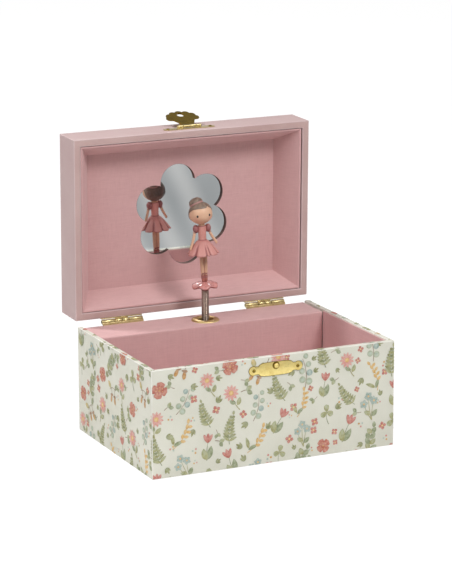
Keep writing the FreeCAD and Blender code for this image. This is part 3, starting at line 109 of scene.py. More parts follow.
class NodeSketch:
    """Node tree whose nodes are added together with what goes into them."""

    def __init__(self, tree: bpy.types.NodeTree) -> None:
        """Start with an empty tree."""
        self.tree = tree
        tree.nodes.clear()

    def add(self, kind: str, inputs: dict[str | int, Any] | None = None, **settings: Any) -> bpy.types.Node:
        """Add a node, set its properties and fill its inputs.

        Args:
            kind: Blender's name for the node's type.
            inputs: Plain value of each input, or the output that is joined to it.
            **settings: Properties of the node.

        Returns:
            The new node.
        """
        node = self.tree.nodes.new(kind)
        for key, value in settings.items():
            setattr(node, key, value)
        for key, value in (inputs or {}).items():
            if isinstance(value, Socket):
                self.tree.links.new(value, node.inputs[key])
            else:
                node.inputs[key].default_value = value
        return node

    def math(self, operation: str, first: Socket, second: Socket | float) -> Socket:
        """Sum, product or other arithmetic of two values, by Blender's name for it."""
        return self.add("ShaderNodeMath", {0: first, 1: second}, operation=operation).outputs["Value"]

    def spread(
        self, value: Socket, low: float, high: float, start: float = 0.3, end: float = 0.7
    ) -> Socket:
        """Carry a value, such as a noise's, to another range.

        Args:
            value: Value to carry.
            low: Result at start.
            high: Result at end.
            start: Value that gives low.
            end: Value that gives high.

        Returns:
            The result.
        """
        node = self.add("ShaderNodeMapRange", {
            "Value": value, "From Min": start, "From Max": end, "To Min": low, "To Max": high,
        })
        return node.outputs["Result"]


class ShaderSketch(NodeSketch):
    """Node tree of one material, whose Principled shader is ready to be fed."""

    def __init__(self, name: str) -> None:
        """Start an empty material that ends in a Principled shader."""
        self.material = bpy.data.materials.new(name)
        self.material.use_nodes = True
        super().__init__(self.material.node_tree)
        self.shader = self.add("ShaderNodeBsdfPrincipled")
        self.add("ShaderNodeOutputMaterial", {"Surface": self.shader.outputs["BSDF"]})

    def feed(self, socket: str, source: Socket) -> None:
        """Join an output to a socket of the Principled shader."""
        self.tree.links.new(source, self.shader.inputs[socket])

    def fix(self, **values: float) -> None:
        """Set plain numbers on the shader's sockets, with _ for a space in their names."""
        for key, value in values.items():
            self.shader.inputs[key.replace("_", " ")].default_value = value

    def place(self, scale: Sequence[float] = (1, 1, 1), turn: Sequence[float] = (0, 0, 0)) -> Socket:
        """Object coordinates, stretched and turned.

        Args:
            scale: Stretch along each axis.
            turn: Turn about each axis, in degrees.

        Returns:
            The coordinates.
        """
        mapping = self.add("ShaderNodeMapping", {
            "Vector": self.add("ShaderNodeTexCoord").outputs["Object"],
            "Scale": scale, "Rotation": [radians(angle) for angle in turn],
        })
        return mapping.outputs["Vector"]

    def noise(self, where: Socket, size: float, detail: float = 2.0, rough: float = 0.5) -> Socket:
        """Noise whose spots have a given size.

        Args:
            where: Coordinates to read.
            size: Size of a spot, in millimetres.
            detail: Octaves of finer noise.
            rough: Strength of the finer noise.

        Returns:
            The noise's value.
        """
        texture = self.add("ShaderNodeTexNoise", {
            "Vector": where, "Scale": 1 / (size * MM), "Detail": detail, "Roughness": rough,
        })
        return texture.outputs["Fac"]

    def tint(
        self, share: Socket, first: Socket | Colour, second: Socket | Colour, mode: str = "MIX"
    ) -> Socket:
        """Mix two colours, each an output or a plain colour, by the share of the second one."""
        inputs = {0: share, 6: first, 7: second}
        return self.add("ShaderNodeMix", inputs, data_type="RGBA", blend_type=mode).outputs[2]

    def attribute(self, name: str, output: str) -> Socket:
        """Value or colour that the mesh carries on its points."""
        return self.add("ShaderNodeAttribute", attribute_name=name).outputs[output]

    def bump(self, height: Socket, strength: float, depth: float) -> None:
        """Raise the surface by a height from 0 to 1, over a depth in millimetres."""
        node = self.add("ShaderNodeBump", {"Height": height, "Strength": strength, "Distance": depth * MM})
        self.feed("Normal", node.outputs["Normal"])


@dataclass(frozen=True)
class Finish:
    """What every finish has: a name, and a material that is made once."""

    name: str

    def material(self) -> bpy.types.Material:
        """Material of this finish, made on its first use."""
        made = bpy.data.materials.get(self.name)
        if made is None:
            sketch = ShaderSketch(self.name)
            self.paint(sketch)
            made = sketch.material
        return made

    def paint(self, sketch: ShaderSketch) -> None:
        """Lay the finish's nodes out."""
        raise NotImplementedError


@dataclass(frozen=True)
class LinenPaper(Finish):
    """Lining paper embossed like linen, with uneven threads."""

    colour: str = "#d5acab"
    shade: str = "#c99f9e"
    thread: float = 0.45
    relief: float = 0.035

    def paint(self, sketch: ShaderSketch) -> None:
        """Cross two sets of fine threads and cloud the colour."""
        long = 0.06
        upright = sketch.noise(sketch.place((1, 1, long)), self.thread, 2.5, 0.6)
        level = sketch.noise(sketch.place((long, long, 1)), self.thread, 2.5, 0.6)
        weave = sketch.math("MULTIPLY", sketch.math("ADD", upright, level), 0.5)
        cloud = sketch.noise(sketch.place(), 16, 3)
        depth = sketch.spread(weave, 1, 0, 0.3, 0.68)
        threads = sketch.tint(depth, linear(self.colour), linear(self.shade))
        worn = blend_colours(linear(self.colour), linear("#e2c0bb"), 0.5)
        sketch.feed("Base Color", sketch.tint(sketch.spread(cloud, 0, 0.25, 0.45, 0.75), threads, worn))
        sketch.feed("Roughness", sketch.spread(weave, 0.9, 0.74))
        sketch.bump(weave, 0.4, self.relief)
        sketch.fix(Specular_IOR_Level=0.3, Sheen_Weight=0.2)


@dataclass(frozen=True)
class WrapPaper(Finish):
    """Smooth covering paper with fine fibres and a little fading."""

    colour: str = "#c2aba9"
    shade: str = "#bda3a2"
    fleck: str = "#d2c5c4"
    fibre: float = 0.35

    def paint(self, sketch: ShaderSketch) -> None:
        """Cloud the colour, add flecks and raise the fibres."""
        cloud = sketch.noise(sketch.place(), 32, 3)
        fibres = sketch.noise(sketch.place((1, 1.6, 0.5), (20, 35, 15)), self.fibre, 3, 0.65)
        ground = sketch.tint(sketch.spread(cloud, 0, 1), linear(self.colour), linear(self.shade))
        flecked = sketch.tint(sketch.spread(fibres, 0, 0.35, 0.52, 0.72), ground, linear(self.fleck))
        sketch.feed("Base Color", flecked)
        sketch.feed("Roughness", sketch.spread(fibres, 0.66, 0.84))
        sketch.bump(fibres, 0.35, 0.05)
        sketch.fix(Specular_IOR_Level=0.3)


@dataclass(frozen=True)
class PrintInk(Finish):
    """Watercolour ink on the covering paper: the motif's own colour, pooled unevenly."""

    paper: str = "#d8d7cb"

    def paint(self, sketch: ShaderSketch) -> None:
        """Let the paper show through the ink in washes."""
        where = sketch.place()
        pool = sketch.noise(where, 2.2, 3, 0.6)
        fibres = sketch.noise(where, 0.35, 3, 0.65)
        ink = sketch.attribute("ink", "Color")
        washed = sketch.tint(sketch.spread(pool, 0.24, 0.0, 0.32, 0.6), ink, linear(self.paper))
        deeper = sketch.tint(sketch.spread(pool, 0, 0.4, 0.5, 0.75), washed, ink, "MULTIPLY")
        sketch.feed("Base Color", deeper)
        sketch.feed("Roughness", sketch.spread(fibres, 0.66, 0.84))
        sketch.bump(fibres, 0.35, 0.05)
        sketch.fix(Specular_IOR_Level=0.3)


@dataclass(frozen=True)
class Metal(Finish):
    """Pressed or turned metal with fine drawing lines and dull patches."""

    colour: str = "#e8cf86"
    tarnish: str = "#a98a48"
    bright: float = 0.16
    dull: float = 0.38
    grain: float = 0.4
    relief: float = 0.03

    def paint(self, sketch: ShaderSketch) -> None:
        """Draw fine lines and dull the metal in patches."""
        patch = sketch.noise(sketch.place(), 3.5, 4, 0.6)
        lines = sketch.noise(sketch.place((0.15, 1, 1)), self.grain, 2, 0.5)
        dulled = sketch.spread(patch, 0, 0.7, 0.45, 0.78)
        sketch.feed("Base Color", sketch.tint(dulled, linear(self.colour), linear(self.tarnish)))
        mixed = sketch.math("ADD", patch, lines)
        sketch.feed("Roughness", sketch.spread(mixed, self.bright, self.dull, 0.7, 1.3))
        sketch.bump(lines, 0.12, self.relief)
        sketch.fix(Metallic=1.0)


@dataclass(frozen=True)
class MirrorSilver(Finish):
    """Silvered glass with painted reflection: soft slanting bright bands over a dimmer grey."""

    silver: str = "#fbfdfd"
    dim_reflection: str = "#d4d9db"
    band_start: float = 0.0735
    band_pitch: float = 0.0265
    band_slant: float = 26.0

    def paint(self, sketch: ShaderSketch) -> None:
        """Lay the painted bands of reflected light and a faint smear over the silver."""
        smear = sketch.noise(sketch.place((1, 1, 0.2), (0, 14, 0)), 20, 1)
        where = sketch.place((1, 1, 1), (0, self.band_slant, 0))
        across = sketch.add("ShaderNodeSeparateXYZ", {"Vector": where}).outputs["X"]
        # The bright silver bands paint a reflection of light; they repeat up to half a pitch past
        # band_start, and past that the glass is the dimmer grey.
        inside = sketch.math("MINIMUM", across, self.band_start + self.band_pitch / 2)
        from_start = sketch.math("SUBTRACT", inside, self.band_start)
        turned_by = sketch.math("MULTIPLY", from_start, 2 * pi / self.band_pitch)
        band = sketch.spread(sketch.math("COSINE", turned_by, 0.0), 1, 0, -1, 1)
        dimmed = sketch.math("MULTIPLY", band, sketch.spread(smear, 0.8, 1.0))
        sketch.feed("Base Color", sketch.tint(dimmed, linear(self.silver), linear(self.dim_reflection)))
        sketch.feed("Roughness", sketch.spread(smear, 0.006, 0.03))
        sketch.fix(Metallic=1.0)


@dataclass(frozen=True)
class Moulded(Finish):
    """Painted or coloured moulded plastic, mixed towards its deep colour where its mesh's shade asks:
    painted shade in folds, grooves and undersides, and the skin's blush.
    """

    colour: str = "#d0958f"
    deep: str = "#9c5f5c"
    gloss: float = 0.38
    coat: float = 0.15
    mottle: float = 0.25

    def paint(self, sketch: ShaderSketch) -> None:
        """Mix in the deep colour by the mesh's shade, for painted shade and the blush, mottle the paint and
        vary the gloss.
        """
        where = sketch.place()
        brush = sketch.noise(where, 1.4, 3, 0.6)
        skin = sketch.noise(where, 0.25, 2)
        # Painted shade and blush: mix towards the deep colour by the mesh's shade.
        folds = sketch.tint(sketch.attribute("shade", "Fac"), linear(self.colour), linear(self.deep))
        pale = blend_colours(linear(self.colour), (1, 1, 1, 1), 0.35)
        sketch.feed("Base Color", sketch.tint(sketch.spread(brush, 0, self.mottle, 0.5, 0.8), folds, pale))
        sketch.feed("Roughness", sketch.spread(brush, self.gloss - 0.08, self.gloss + 0.12))
        sketch.bump(skin, 0.12, 0.04)
        sketch.fix(Coat_Weight=self.coat, Coat_Roughness=0.18, Specular_IOR_Level=0.45)


@dataclass(frozen=True)
class PressedBoard(Finish):
    """Bare fibreboard with mixed light and dark fibres."""

    colour: str = "#a8937a"
    dark: str = "#7f6a54"

    def paint(self, sketch: ShaderSketch) -> None:
        """Scatter coarse and fine fibres."""
        fibres = sketch.noise(sketch.place((1, 0.35, 1), (0, 0, 25)), 0.9, 5, 0.7)
        cloud = sketch.noise(sketch.place(), 18, 2)
        mixed = sketch.math("MULTIPLY", sketch.math("ADD", fibres, cloud), 0.5)
        tone = sketch.tint(sketch.spread(mixed, 0, 1, 0.38, 0.62), linear(self.colour), linear(self.dark))
        sketch.feed("Base Color", tone)
        sketch.feed("Roughness", sketch.spread(fibres, 0.78, 0.95))
        sketch.bump(fibres, 0.6, 0.12)


LINING = LinenPaper("pink_linen_lining")
LID_PAPER = WrapPaper("pink_lid_paper")
LID_EDGE = WrapPaper("pink_lid_edge", "#d3bfbe", "#c8aeae", "#e3d6d5")
LID_RIM = WrapPaper("pink_lid_rim", "#c6aaa6", "#ba9b97", "#d2b8b4")
CREAM_PAPER = WrapPaper("cream_base_paper", "#d6d5c9", "#cecdbf", "#e1e0d9", 0.4)
CREAM_EDGE = WrapPaper("cream_base_edge", "#e6e5de", "#dcd9cf", "#efede8", 0.4)
PRINT = PrintInk("floral_print_ink")
BRASS = Metal("stamped_brass", "#ecd88e", "#cfb262", 0.26, 0.46)
POLISHED_BRASS = Metal("polished_brass", "#d3bb88", "#ac8c4c", 0.38, 0.5, relief=0.008)
# Dark brass that paints shade: the shadowed outline of the latch plate's edges, the shade round the knob's
# foot, and the dark nail heads.
DARK_BRASS = Metal("dark_brass_painted_shade", "#8a7434", "#5c4b22", 0.3, 0.5)
# The hasp's brass is darkened to paint the shade and dark reflection on its upturned face.
SHADED_HASP_BRASS = Metal("hasp_brass_painted_shade", "#a3851c", "#745e10", 0.24, 0.4)
HINGE_BRASS = Metal("hinge_brass", "#cdbd8c", "#9c8550", 0.3, 0.42, relief=0.006)
MIRROR = MirrorSilver("mirror_silver")
BOARD = PressedBoard("bare_fibreboard")
# Board edge darker than bare board: it paints the shade in gaps and holes.
SHADED_CUT_EDGE = PressedBoard("cut_edge_painted_shade", "#6d544c", "#483733")
STEEL = Metal("spring_steel", "#9d8e83", "#72645c", 0.12, 0.22, 0.3, 0.01)
MOVEMENT_BRASS = Metal("movement_brass", "#d8ba78", "#9a7c44", 0.22, 0.4)
MOVEMENT_STEEL = Metal("movement_steel", "#b8b9bb", "#85868a", 0.2, 0.4)
BED_METAL = Metal("cast_bed_metal", "#a3a4a6", "#77787c", 0.34, 0.55, 0.8)
FAN_PLASTIC = Moulded("governor_fan_plastic", "#c9c6bf", "#8f8c86", 0.4)
PEDESTAL_PINK = Moulded("pedestal_pink", "#d38f89", "#9a4f50", 0.26, 0.6, 0.1)
DRESS_PINK = Moulded("dress_pink", "#cd8f87", "#8a4646", 0.48, 0.06, 0.15)
BODICE_PINK = Moulded("bodice_pink", "#d39187", "#93504d", 0.38, 0.15, 0.15)
BAND_ROSE = Moulded("hair_band_rose", "#a87b76", "#7d4d50", 0.4, 0.1, 0.15)
DARK_ROSE = Moulded("sleeve_dark_rose", "#9c6260", "#6d3d3f", 0.4, 0.1, 0.15)
SHOE_ROSE = Moulded("shoe_rose", "#bb7468", "#7d4340", 0.4, 0.15, 0.15)
SKIN = Moulded("doll_skin", "#dcb193", "#c98473", 0.46, 0.05, 0.12)
HAIR = Moulded("doll_hair", "#857060", "#5d4b41", 0.4, 0.1, 0.2)
EYE = Moulded("doll_eye", "#3a2a28", "#1d1413", 0.25, 0.3, 0.05)

NODE_FINISHES: dict[Finish, tuple[str, ...]] = {
    BOARD: ("base_bottom",),
    LINING: (
        "tray_floor_lining", "tray_left_lining", "tray_right_lining", "tray_front_lining", "mirror_panel",
    ),
    MIRROR: ("mirror",),
    HINGE_BRASS: ("left_hinge_pin", "right_hinge_pin", "hasp_plate", "hasp_pin"),
    MOVEMENT_BRASS: (
        "cylinder", "spring_barrel", "barrel_cap", "spindle_wheel", "drive_pinion", "governor_wheel",
        "spindle_pinion", "winding_key",
    ),
    MOVEMENT_STEEL: (
        "comb", "movement_screws", "cylinder_axle", "spindle", "mainspring", "governor_shaft",
        "winding_arbor",
    ),
    BED_METAL: ("bedplate", "spindle_bracket"),
    FAN_PLASTIC: ("governor_fan",),
}


def new_object(name: str, data: bpy.types.ID) -> Piece:
    """Put a mesh, lamp or camera into the scene under a name.

    Args:
        name: Name of the object.
        data: What it holds.

    Returns:
        The new object, at the origin.
    """
    made = bpy.data.objects.new(name, data)
    bpy.context.scene.collection.objects.link(made)
    return made


def settle(piece: Piece) -> Piece:
    """Turn a piece and its modifiers into one plain mesh.

    Args:
        piece: Piece with live modifiers.

    Returns:
        The same piece, with no modifier left.
    """
    bpy.context.view_layer.update()
    graph = bpy.context.evaluated_depsgraph_get()
    shown = piece.evaluated_get(graph)
    mesh = bpy.data.meshes.new_from_object(shown, preserve_all_data_layers=True, depsgraph=graph)
    piece.modifiers.clear()
    piece.data = mesh
    return piece


def shade_by_angle(mesh: bpy.types.Mesh, angle: float) -> None:
    """Smooth a mesh, and keep edges sharper than an angle in degrees crisp."""
    mesh.polygons.foreach_set("use_smooth", [True] * len(mesh.polygons))
    mesh.set_sharp_from_angle(angle=radians(angle))


def loft(
    name: str, rings: Sequence[Ring], finish: Finish, shades: Shades = None, looped: bool = False,
    crisp: float = 50,
) -> Piece:
    """Skin a row of rings, in millimetres, as one closed smooth piece.

    Args:
        name: Name of the piece.
        rings: Rings with equal numbers of points.
        finish: Finish of the piece.
        shades: How deep the colour is at each point, 0 where left out.
        looped: Whether the last ring joins the first, as in a hoop.
        crisp: Angle past which an edge stays sharp, in degrees.

    Returns:
        The new piece.
    """
    model = bmesh.new()
    layer = model.verts.layers.float.new("shade")
    rows = [[model.verts.new(point * MM) for point in ring] for ring in rings]
    for row, depths in zip(rows, shades or ()):
        for vert, depth in zip(row, depths):
            vert[layer] = depth
    pairs = list(zip(rows, rows[1:])) + ([(rows[-1], rows[0])] if looped else [])
    for low, high in pairs:
        for index in range(len(low)):
            after = (index + 1) % len(low)
            model.faces.new((low[index], low[after], high[after], high[index]))
    if not looped:
        model.faces.new(rows[0][::-1])
        model.faces.new(rows[-1])
    bmesh.ops.remove_doubles(model, verts=model.verts, dist=1e-7)
    bmesh.ops.recalc_face_normals(model, faces=model.faces)
    mesh = bpy.data.meshes.new(name)
    model.to_mesh(mesh)
    model.free()
    shade_by_angle(mesh, crisp)
    mesh.materials.append(finish.material())
    return new_object(name, mesh)


def turns_of(count: int) -> list[float]:
    """Equal steps round a circle, in radians."""
    return [2 * pi * index / count for index in range(count)]


def moved(place: Sequence[float]) -> Matrix:
    """Shift from the origin to a place."""
    return Matrix.Translation(place)


def turned(angle: float, axis: str) -> Matrix:
    """Turn by degrees about an axis through the origin."""
    return Matrix.Rotation(radians(angle), 4, axis)


def circle(centre: Vector, radii: Pair, count: int) -> Ring:
    """Level ellipse of points round a centre, with its radii along X and Y."""
    wide, deep = radii
    return [centre + Vector((wide * cos(turn), deep * sin(turn), 0)) for turn in turns_of(count)]


def tube(path: Sequence[Vector], radii: Sequence[float], count: int = 16) -> list[Ring]:
    """Rings square to a path.

    Args:
        path: Points of the middle line.
        radii: Radius at each point.
        count: Points in a ring.

    Returns:
        The rings.
    """
    rings = []
    for index, point in enumerate(path):
        ahead = path[min(index + 1, len(path) - 1)] - path[max(index - 1, 0)]
        turn = Vector((0, 0, 1)).rotation_difference(ahead.normalized())
        flat = circle(Vector(), (radii[index], radii[index]), count)
        rings.append([point + turn @ corner for corner in flat])
    return rings


def hoop(turn: Matrix, radii: Pair, thick: float, flat: float, count: int = 36) -> list[Ring]:
    """Rings of a hoop, to be lofted in a loop.

    Args:
        turn: Place and tilt of the hoop.
        radii: Radii of its middle line along X and Y.
        thick: Half its thickness outwards.
        flat: Half its height.
        count: Rings round the hoop.

    Returns:
        The rings.
    """
    rings = []
    for angle in turns_of(count):
        way = Vector((cos(angle), sin(angle), 0))
        middle = Vector((radii[0] * way.x, radii[1] * way.y, 0))
        ring = []
        for round_it in turns_of(10):
            lift = Vector((0, 0, flat * sin(round_it)))
            ring.append(turn @ (middle + way * thick * cos(round_it) + lift))
        rings.append(ring)
    return rings


def lathe(outline: Sequence[Pair], turn: Matrix, count: int = 64) -> list[Ring]:
    """Rings of a turned piece.

    Args:
        outline: Radius and height along the piece.
        turn: Place and tilt of the piece.
        count: Points in a ring.

    Returns:
        The rings.
    """
    return [
        [turn @ point for point in circle(Vector((0, 0, height)), (radius, radius), count)]
        for radius, height in outline
    ]


def ball(
    centre: Vector, radii: Vector, rows: int, count: int,
    ripple: Callable[[float, float], float] | None = None,
) -> list[Ring]:
    """Rings of an ellipsoid from its top to its foot.

    Args:
        centre: Middle of the ellipsoid.
        radii: Radii along X, Y and Z.
        rows: Number of rings.
        count: Points in a ring.
        ripple: Growth of the radius by the angle from the top and the angle round, in radians.

    Returns:
        The rings.
    """
    rings = []
    for row in range(rows):
        polar = pi * (0.02 + 0.96 * row / (rows - 1))
        ring = []
        for around in turns_of(count):
            grow = 1 + (ripple(polar, around) if ripple else 0)
            ring.append(centre + Vector((
                radii.x * sin(polar) * cos(around) * grow,
                radii.y * sin(polar) * sin(around) * grow,
                radii.z * cos(polar) * grow,
            )))
        rings.append(ring)
    return rings


def soften(piece: Piece, width: float, edge: Finish | None = None) -> Piece:
    """Round a piece's sharp edges.

    Args:
        piece: Piece to round.
        width: Width of the rounding, in millimetres.
        edge: Finish of the rounding, if it has its own.

    Returns:
        The same piece.
    """
    rounding = piece.modifiers.new("rounding", "BEVEL")
    rounding.width = width * MM
    rounding.segments = 3
    rounding.limit_method = "ANGLE"
    rounding.angle_limit = radians(50)
    if edge is not None:
        piece.data.materials.append(edge.material())
        rounding.material = len(piece.data.materials) - 1
    settle(piece)
    shade_by_angle(piece.data, 40)
    return piece


def plate(
    name: str, outline: Sequence[Vector], rise: Vector, finish: Finish, round_over: float,
    edge: Finish | None = None,
) -> Piece:
    """Flat plate with rounded edges, raised from the outline of its back face, in millimetres."""
    rings = [list(outline), [point + rise for point in outline]]
    return soften(loft(name, rings, finish), round_over, edge)


def block(
    name: str, low: Sequence[float], high: Sequence[float], finish: Finish, round_over: float = 0.15,
    edge: Finish | None = None,
) -> Piece:
    """Board or strip with rounded edges between two opposite corners, in millimetres.

    Args:
        name: Name of the piece.
        low: Its low corner.
        high: Its high corner.
        finish: Its finish.
        round_over: Width of the rounding along its edges.
        edge: Finish of the rounding, if it has its own.

    Returns:
        The new piece.
    """
    around = ((low[0], low[1]), (high[0], low[1]), (high[0], high[1]), (low[0], high[1]))
    outline = [Vector((*corner, low[2])) for corner in around]
    return plate(name, outline, Vector((0, 0, high[2] - low[2])), finish, round_over, edge)


def move(piece: Piece, place: Matrix) -> Piece:
    """Carry a piece's mesh to its place, given in millimetres."""
    piece.data.transform(Matrix.Scale(MM, 4) @ place @ Matrix.Scale(1 / MM, 4))
    return piece


def join(first: Piece, others: Sequence[Piece]) -> Piece:
    """Join pieces into the first one.

    Args:
        first: Piece that stays.
        others: Pieces that become part of it.

    Returns:
        The joined piece.
    """
    with bpy.context.temp_override(
        active_object=first, object=first, selected_objects=[first, *others],
        selected_editable_objects=[first, *others],
    ):
        bpy.ops.object.join()
    return first


def fit(piece: Piece, body: str, slot: str, *nodes: str) -> None:
    """Set a piece on a body, in place of CAD nodes.

    Args:
        piece: Piece to set.
        body: Body that it moves with.
        slot: Not used.
        *nodes: CAD nodes that it takes the place of, if any.
    """
    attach(piece, body)
    if nodes:
        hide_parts(*nodes)


def reach_of(
    start: Pair, turn: float, rounds: Sequence[Pair], radius: float, corners: Sequence[Pair] = ()
) -> float:
    """How far an outline of round lobes, and a polygon if any, lies from a point inside it.

    Args:
        start: Point inside.
        turn: Direction, in radians from the first axis.
        rounds: Middles of the lobes.
        radius: Radius of the lobes.
        corners: Corners of the polygon.

    Returns:
        The distance to the outermost edge.
    """
    way = (cos(turn), sin(turn))
    found = [0.0]
    for middle in rounds:
        off = (middle[0] - start[0], middle[1] - start[1])
        along = off[0] * way[0] + off[1] * way[1]
        across = off[0] * way[1] - off[1] * way[0]
        if abs(across) < radius:
            found.append(along + sqrt(radius ** 2 - across ** 2))
    for first, second in zip(corners, [*corners[1:], *corners[:1]]):
        run = (second[0] - first[0], second[1] - first[1])
        off = (first[0] - start[0], first[1] - start[1])
        spread = way[0] * run[1] - way[1] * run[0]
        if abs(spread) > 1e-9:
            share = (off[0] * way[1] - off[1] * way[0]) / spread
            if 0 <= share <= 1:
                found.append((off[0] * run[1] - off[1] * run[0]) / spread)
    return max(found)


class NodeRecipe(NodeSketch):
    """Geometry Nodes tree with named inputs, which ends in Realize Instances and Set Material."""

    def __init__(self, name: str, inputs: dict[str, str]) -> None:
        """Start a tree.

        Args:
            name: Name of the tree.
            inputs: Socket type of each named input.
        """
        super().__init__(bpy.data.node_groups.new(name, "GeometryNodeTree"))
        face = self.tree.interface
        face.new_socket("Geometry", in_out="INPUT", socket_type="NodeSocketGeometry")
        self.identifiers = {
            key: face.new_socket(key, in_out="INPUT", socket_type=kind).identifier
            for key, kind in inputs.items()
        }
        face.new_socket("Geometry", in_out="OUTPUT", socket_type="NodeSocketGeometry")
        self.inputs = self.add("NodeGroupInput").outputs

    def named(self, name: str, kind: str) -> Socket:
        """Read an attribute of the points."""
        node = self.add("GeometryNodeInputNamedAttribute", {"Name": name}, data_type=kind)
        return node.outputs["Attribute"]

    def close(self, geometry: Socket, finish: Finish) -> None:
        """End the tree in real geometry with a finish.

        Args:
            geometry: What the tree has made.
            finish: Finish of the result.
        """
        real = self.add("GeometryNodeRealizeInstances", {"Geometry": geometry})
        dressed = self.add("GeometryNodeSetMaterial", {
            "Geometry": real.outputs["Geometry"], "Material": finish.material(),
        })
        self.add("NodeGroupOutput", {"Geometry": dressed.outputs["Geometry"]})

    def make(self, piece: Piece, values: dict[str, Any]) -> Piece:
        """Run the tree on a piece and keep its result as a plain mesh.

        Args:
            piece: Piece that the tree starts from.
            values: Value of each named input.

        Returns:
            The same piece, with its new mesh.
        """
        modifier = piece.modifiers.new(self.tree.name, "NODES")
        modifier.node_group = self.tree
        for key, value in values.items():
            modifier[self.identifiers[key]] = value
        return settle(piece)


class Ink(Enum):
    """Watercolours of the print."""

    ROSE = "#cb8d85"
    BLUSH = "#ddaea4"
    BRICK = "#b2695c"
    RUST = "#c68a79"
    SAGE = "#a5ad92"
    OLIVE = "#a19d6b"
    MOSS = "#858c69"
    OCHRE = "#cda461"
    HONEY = "#dfc188"
    HAZE = "#b4c0b6"
    SLATE = "#93a5a0"
    BARK = "#9a8672"
    UMBER = "#b07f58"

    def colour(self) -> Colour:
        """Linear colour of the ink."""
        return linear(self.value)


@dataclass
class MotifSketch:
    """Flat painted motif, in millimetres, each stroke a hair above the last."""

    lift: float = 0.006
    strokes: int = 0
    points: Ring = field(default_factory=list)
    inks: list[Colour] = field(default_factory=list)
    faces: list[tuple[int, ...]] = field(default_factory=list)

    def dab(self, place: Vector, ink: Colour) -> int:
        """Add a point at the present stroke's height and return its number."""
        self.points.append(Vector((place.x, place.y, self.strokes * self.lift)))
        self.inks.append(ink)
        return len(self.points) - 1

    def blade(
        self, base: Pair, angle: float, size: Pair, inks: tuple[Ink, Ink], blunt: float = 0.5,
        curl: float = 0.0, rows: int = 6,
    ) -> None:
        """Petal or leaf that grows out of a point.

        Args:
            base: Where it starts.
            angle: Its direction, in degrees from +X.
            size: Its length and width.
            inks: Inks at its base and its tip.
            blunt: 0 for a pointed tip, 1 for a broad round one.
            curl: Degrees that it bends by along its length.
            rows: Rows of points along it.
        """
        self.strokes += 1
        start, end = (ink.colour() for ink in inks)
        place = Vector((base[0], base[1], 0))
        fall = 1.0 - 0.72 * blunt
        peak = 0.75 ** 0.75 * 0.25 ** fall if blunt < 0.4 else 0.62
        before: list[int] = []
        for row in range(rows + 1):
            share = row / rows
            way = radians(angle + curl * share)
            ahead = Vector((cos(way), sin(way), 0))
            side = Vector((-ahead.y, ahead.x, 0))
            half = size[1] / 2 * share ** 0.75 * (1 - share) ** fall / peak
            tone = blend_colours(start, end, share)
            rim = blend_colours(tone, start, 0.6)
            if half < 1e-4:
                now = [self.dab(place, rim)] * 3
            else:
                across = ((side * half, rim), (Vector(), tone), (side * -half, rim))
                now = [self.dab(place + off, ink) for off, ink in across]
            for first, second in ((1, 0), (2, 1)) if before else ():
                around = dict.fromkeys((before[first], before[second], now[second], now[first]))
                self.faces.append(tuple(around))
            before = now
            place = place + ahead * size[0] / rows

    def stem(
        self, start: Pair, end: Pair, sag: float, width: float, ink: Ink, count: int = 7
    ) -> list[Pair]:
        """Thin bent stroke, tapered to its end.

        Args:
            start: Where it starts.
            end: Where it ends.
            sag: How far its middle stands off the straight line.
            width: Width at its start.
            ink: Its ink.
            count: Number of points along it.

        Returns:
            The points along it.
        """
        self.strokes += 1
        run = (end[0] - start[0], end[1] - start[1])
        length = hypot(*run)
        off = (-run[1] / length, run[0] / length)
        points = []
        for share in (index / (count - 1) for index in range(count)):
            bow = sag * 4 * share * (1 - share)
            x, y = (start[axis] + run[axis] * share + off[axis] * bow for axis in (0, 1))
            points.append((x, y))
        path = [Vector((x, y, 0)) for x, y in points]
        before: list[int] = []
        for index, place in enumerate(path):
            ahead = (path[min(index + 1, count - 1)] - path[max(index - 1, 0)]).normalized()
            side = Vector((-ahead.y, ahead.x, 0)) * width / 2 * (1 - 0.5 * index / (count - 1))
            now = [self.dab(place + side, ink.colour()), self.dab(place - side, ink.colour())]
            if before:
                self.faces.append((before[1], before[0], now[0], now[1])[::-1])
            before = now
        return points

    def spot(self, centre: Pair, radius: float, inks: tuple[Ink, Ink], count: int = 10) -> None:
        """Round dab.

        Args:
            centre: Its middle.
            radius: Its radius.
            inks: Inks at its middle and its rim.
            count: Points round it.
        """
        self.strokes += 1
        middle = Vector((centre[0], centre[1], 0))
        hub = self.dab(middle, inks[0].colour())
        around = circle(middle, (radius, radius), count)
        rim = [self.dab(point, inks[1].colour()) for point in around]
        self.faces += [(hub, rim[index], rim[(index + 1) % count]) for index in range(count)]

    def build(self, name: str) -> Piece:
        """Object of the motif.

        Args:
            name: Name of the motif.

        Returns:
            The new object.
        """
        mesh = bpy.data.meshes.new(name)
        mesh.from_pydata([tuple(point) for point in self.points], [], self.faces)
        layer = mesh.attributes.new("ink", "FLOAT_COLOR", "POINT")
        layer.data.foreach_set("color", [share for ink in self.inks for share in ink])
        return bpy.data.objects.new(name, mesh)


MOSS_LEAF = (Ink.MOSS, Ink.SAGE)
OLIVE_LEAF = (Ink.OLIVE, Ink.SAGE)
POLLEN = (Ink.HONEY, Ink.OCHRE)
ROSY = (Ink.BRICK, Ink.ROSE)


def daisy(sketch: MotifSketch) -> None:
    """Many narrow petals round an ochre disc, on a leafy stem."""
    sketch.stem((1.8, -10), (0, 1.5), 0.9, 0.6, Ink.OLIVE)
    sketch.blade((1.2, -6.6), 42, (5.4, 2.2), OLIVE_LEAF, 0.2, 25)
    sketch.blade((0.8, -5), 145, (4.8, 2.0), MOSS_LEAF, 0.2, -25)
    for index in range(11):
        sketch.blade((0, 2.5), index * 360 / 11, (5.3, 2.4), (Ink.ROSE, Ink.BLUSH), 0.7, rows=4)
    sketch.spot((0, 2.5), 1.6, POLLEN)


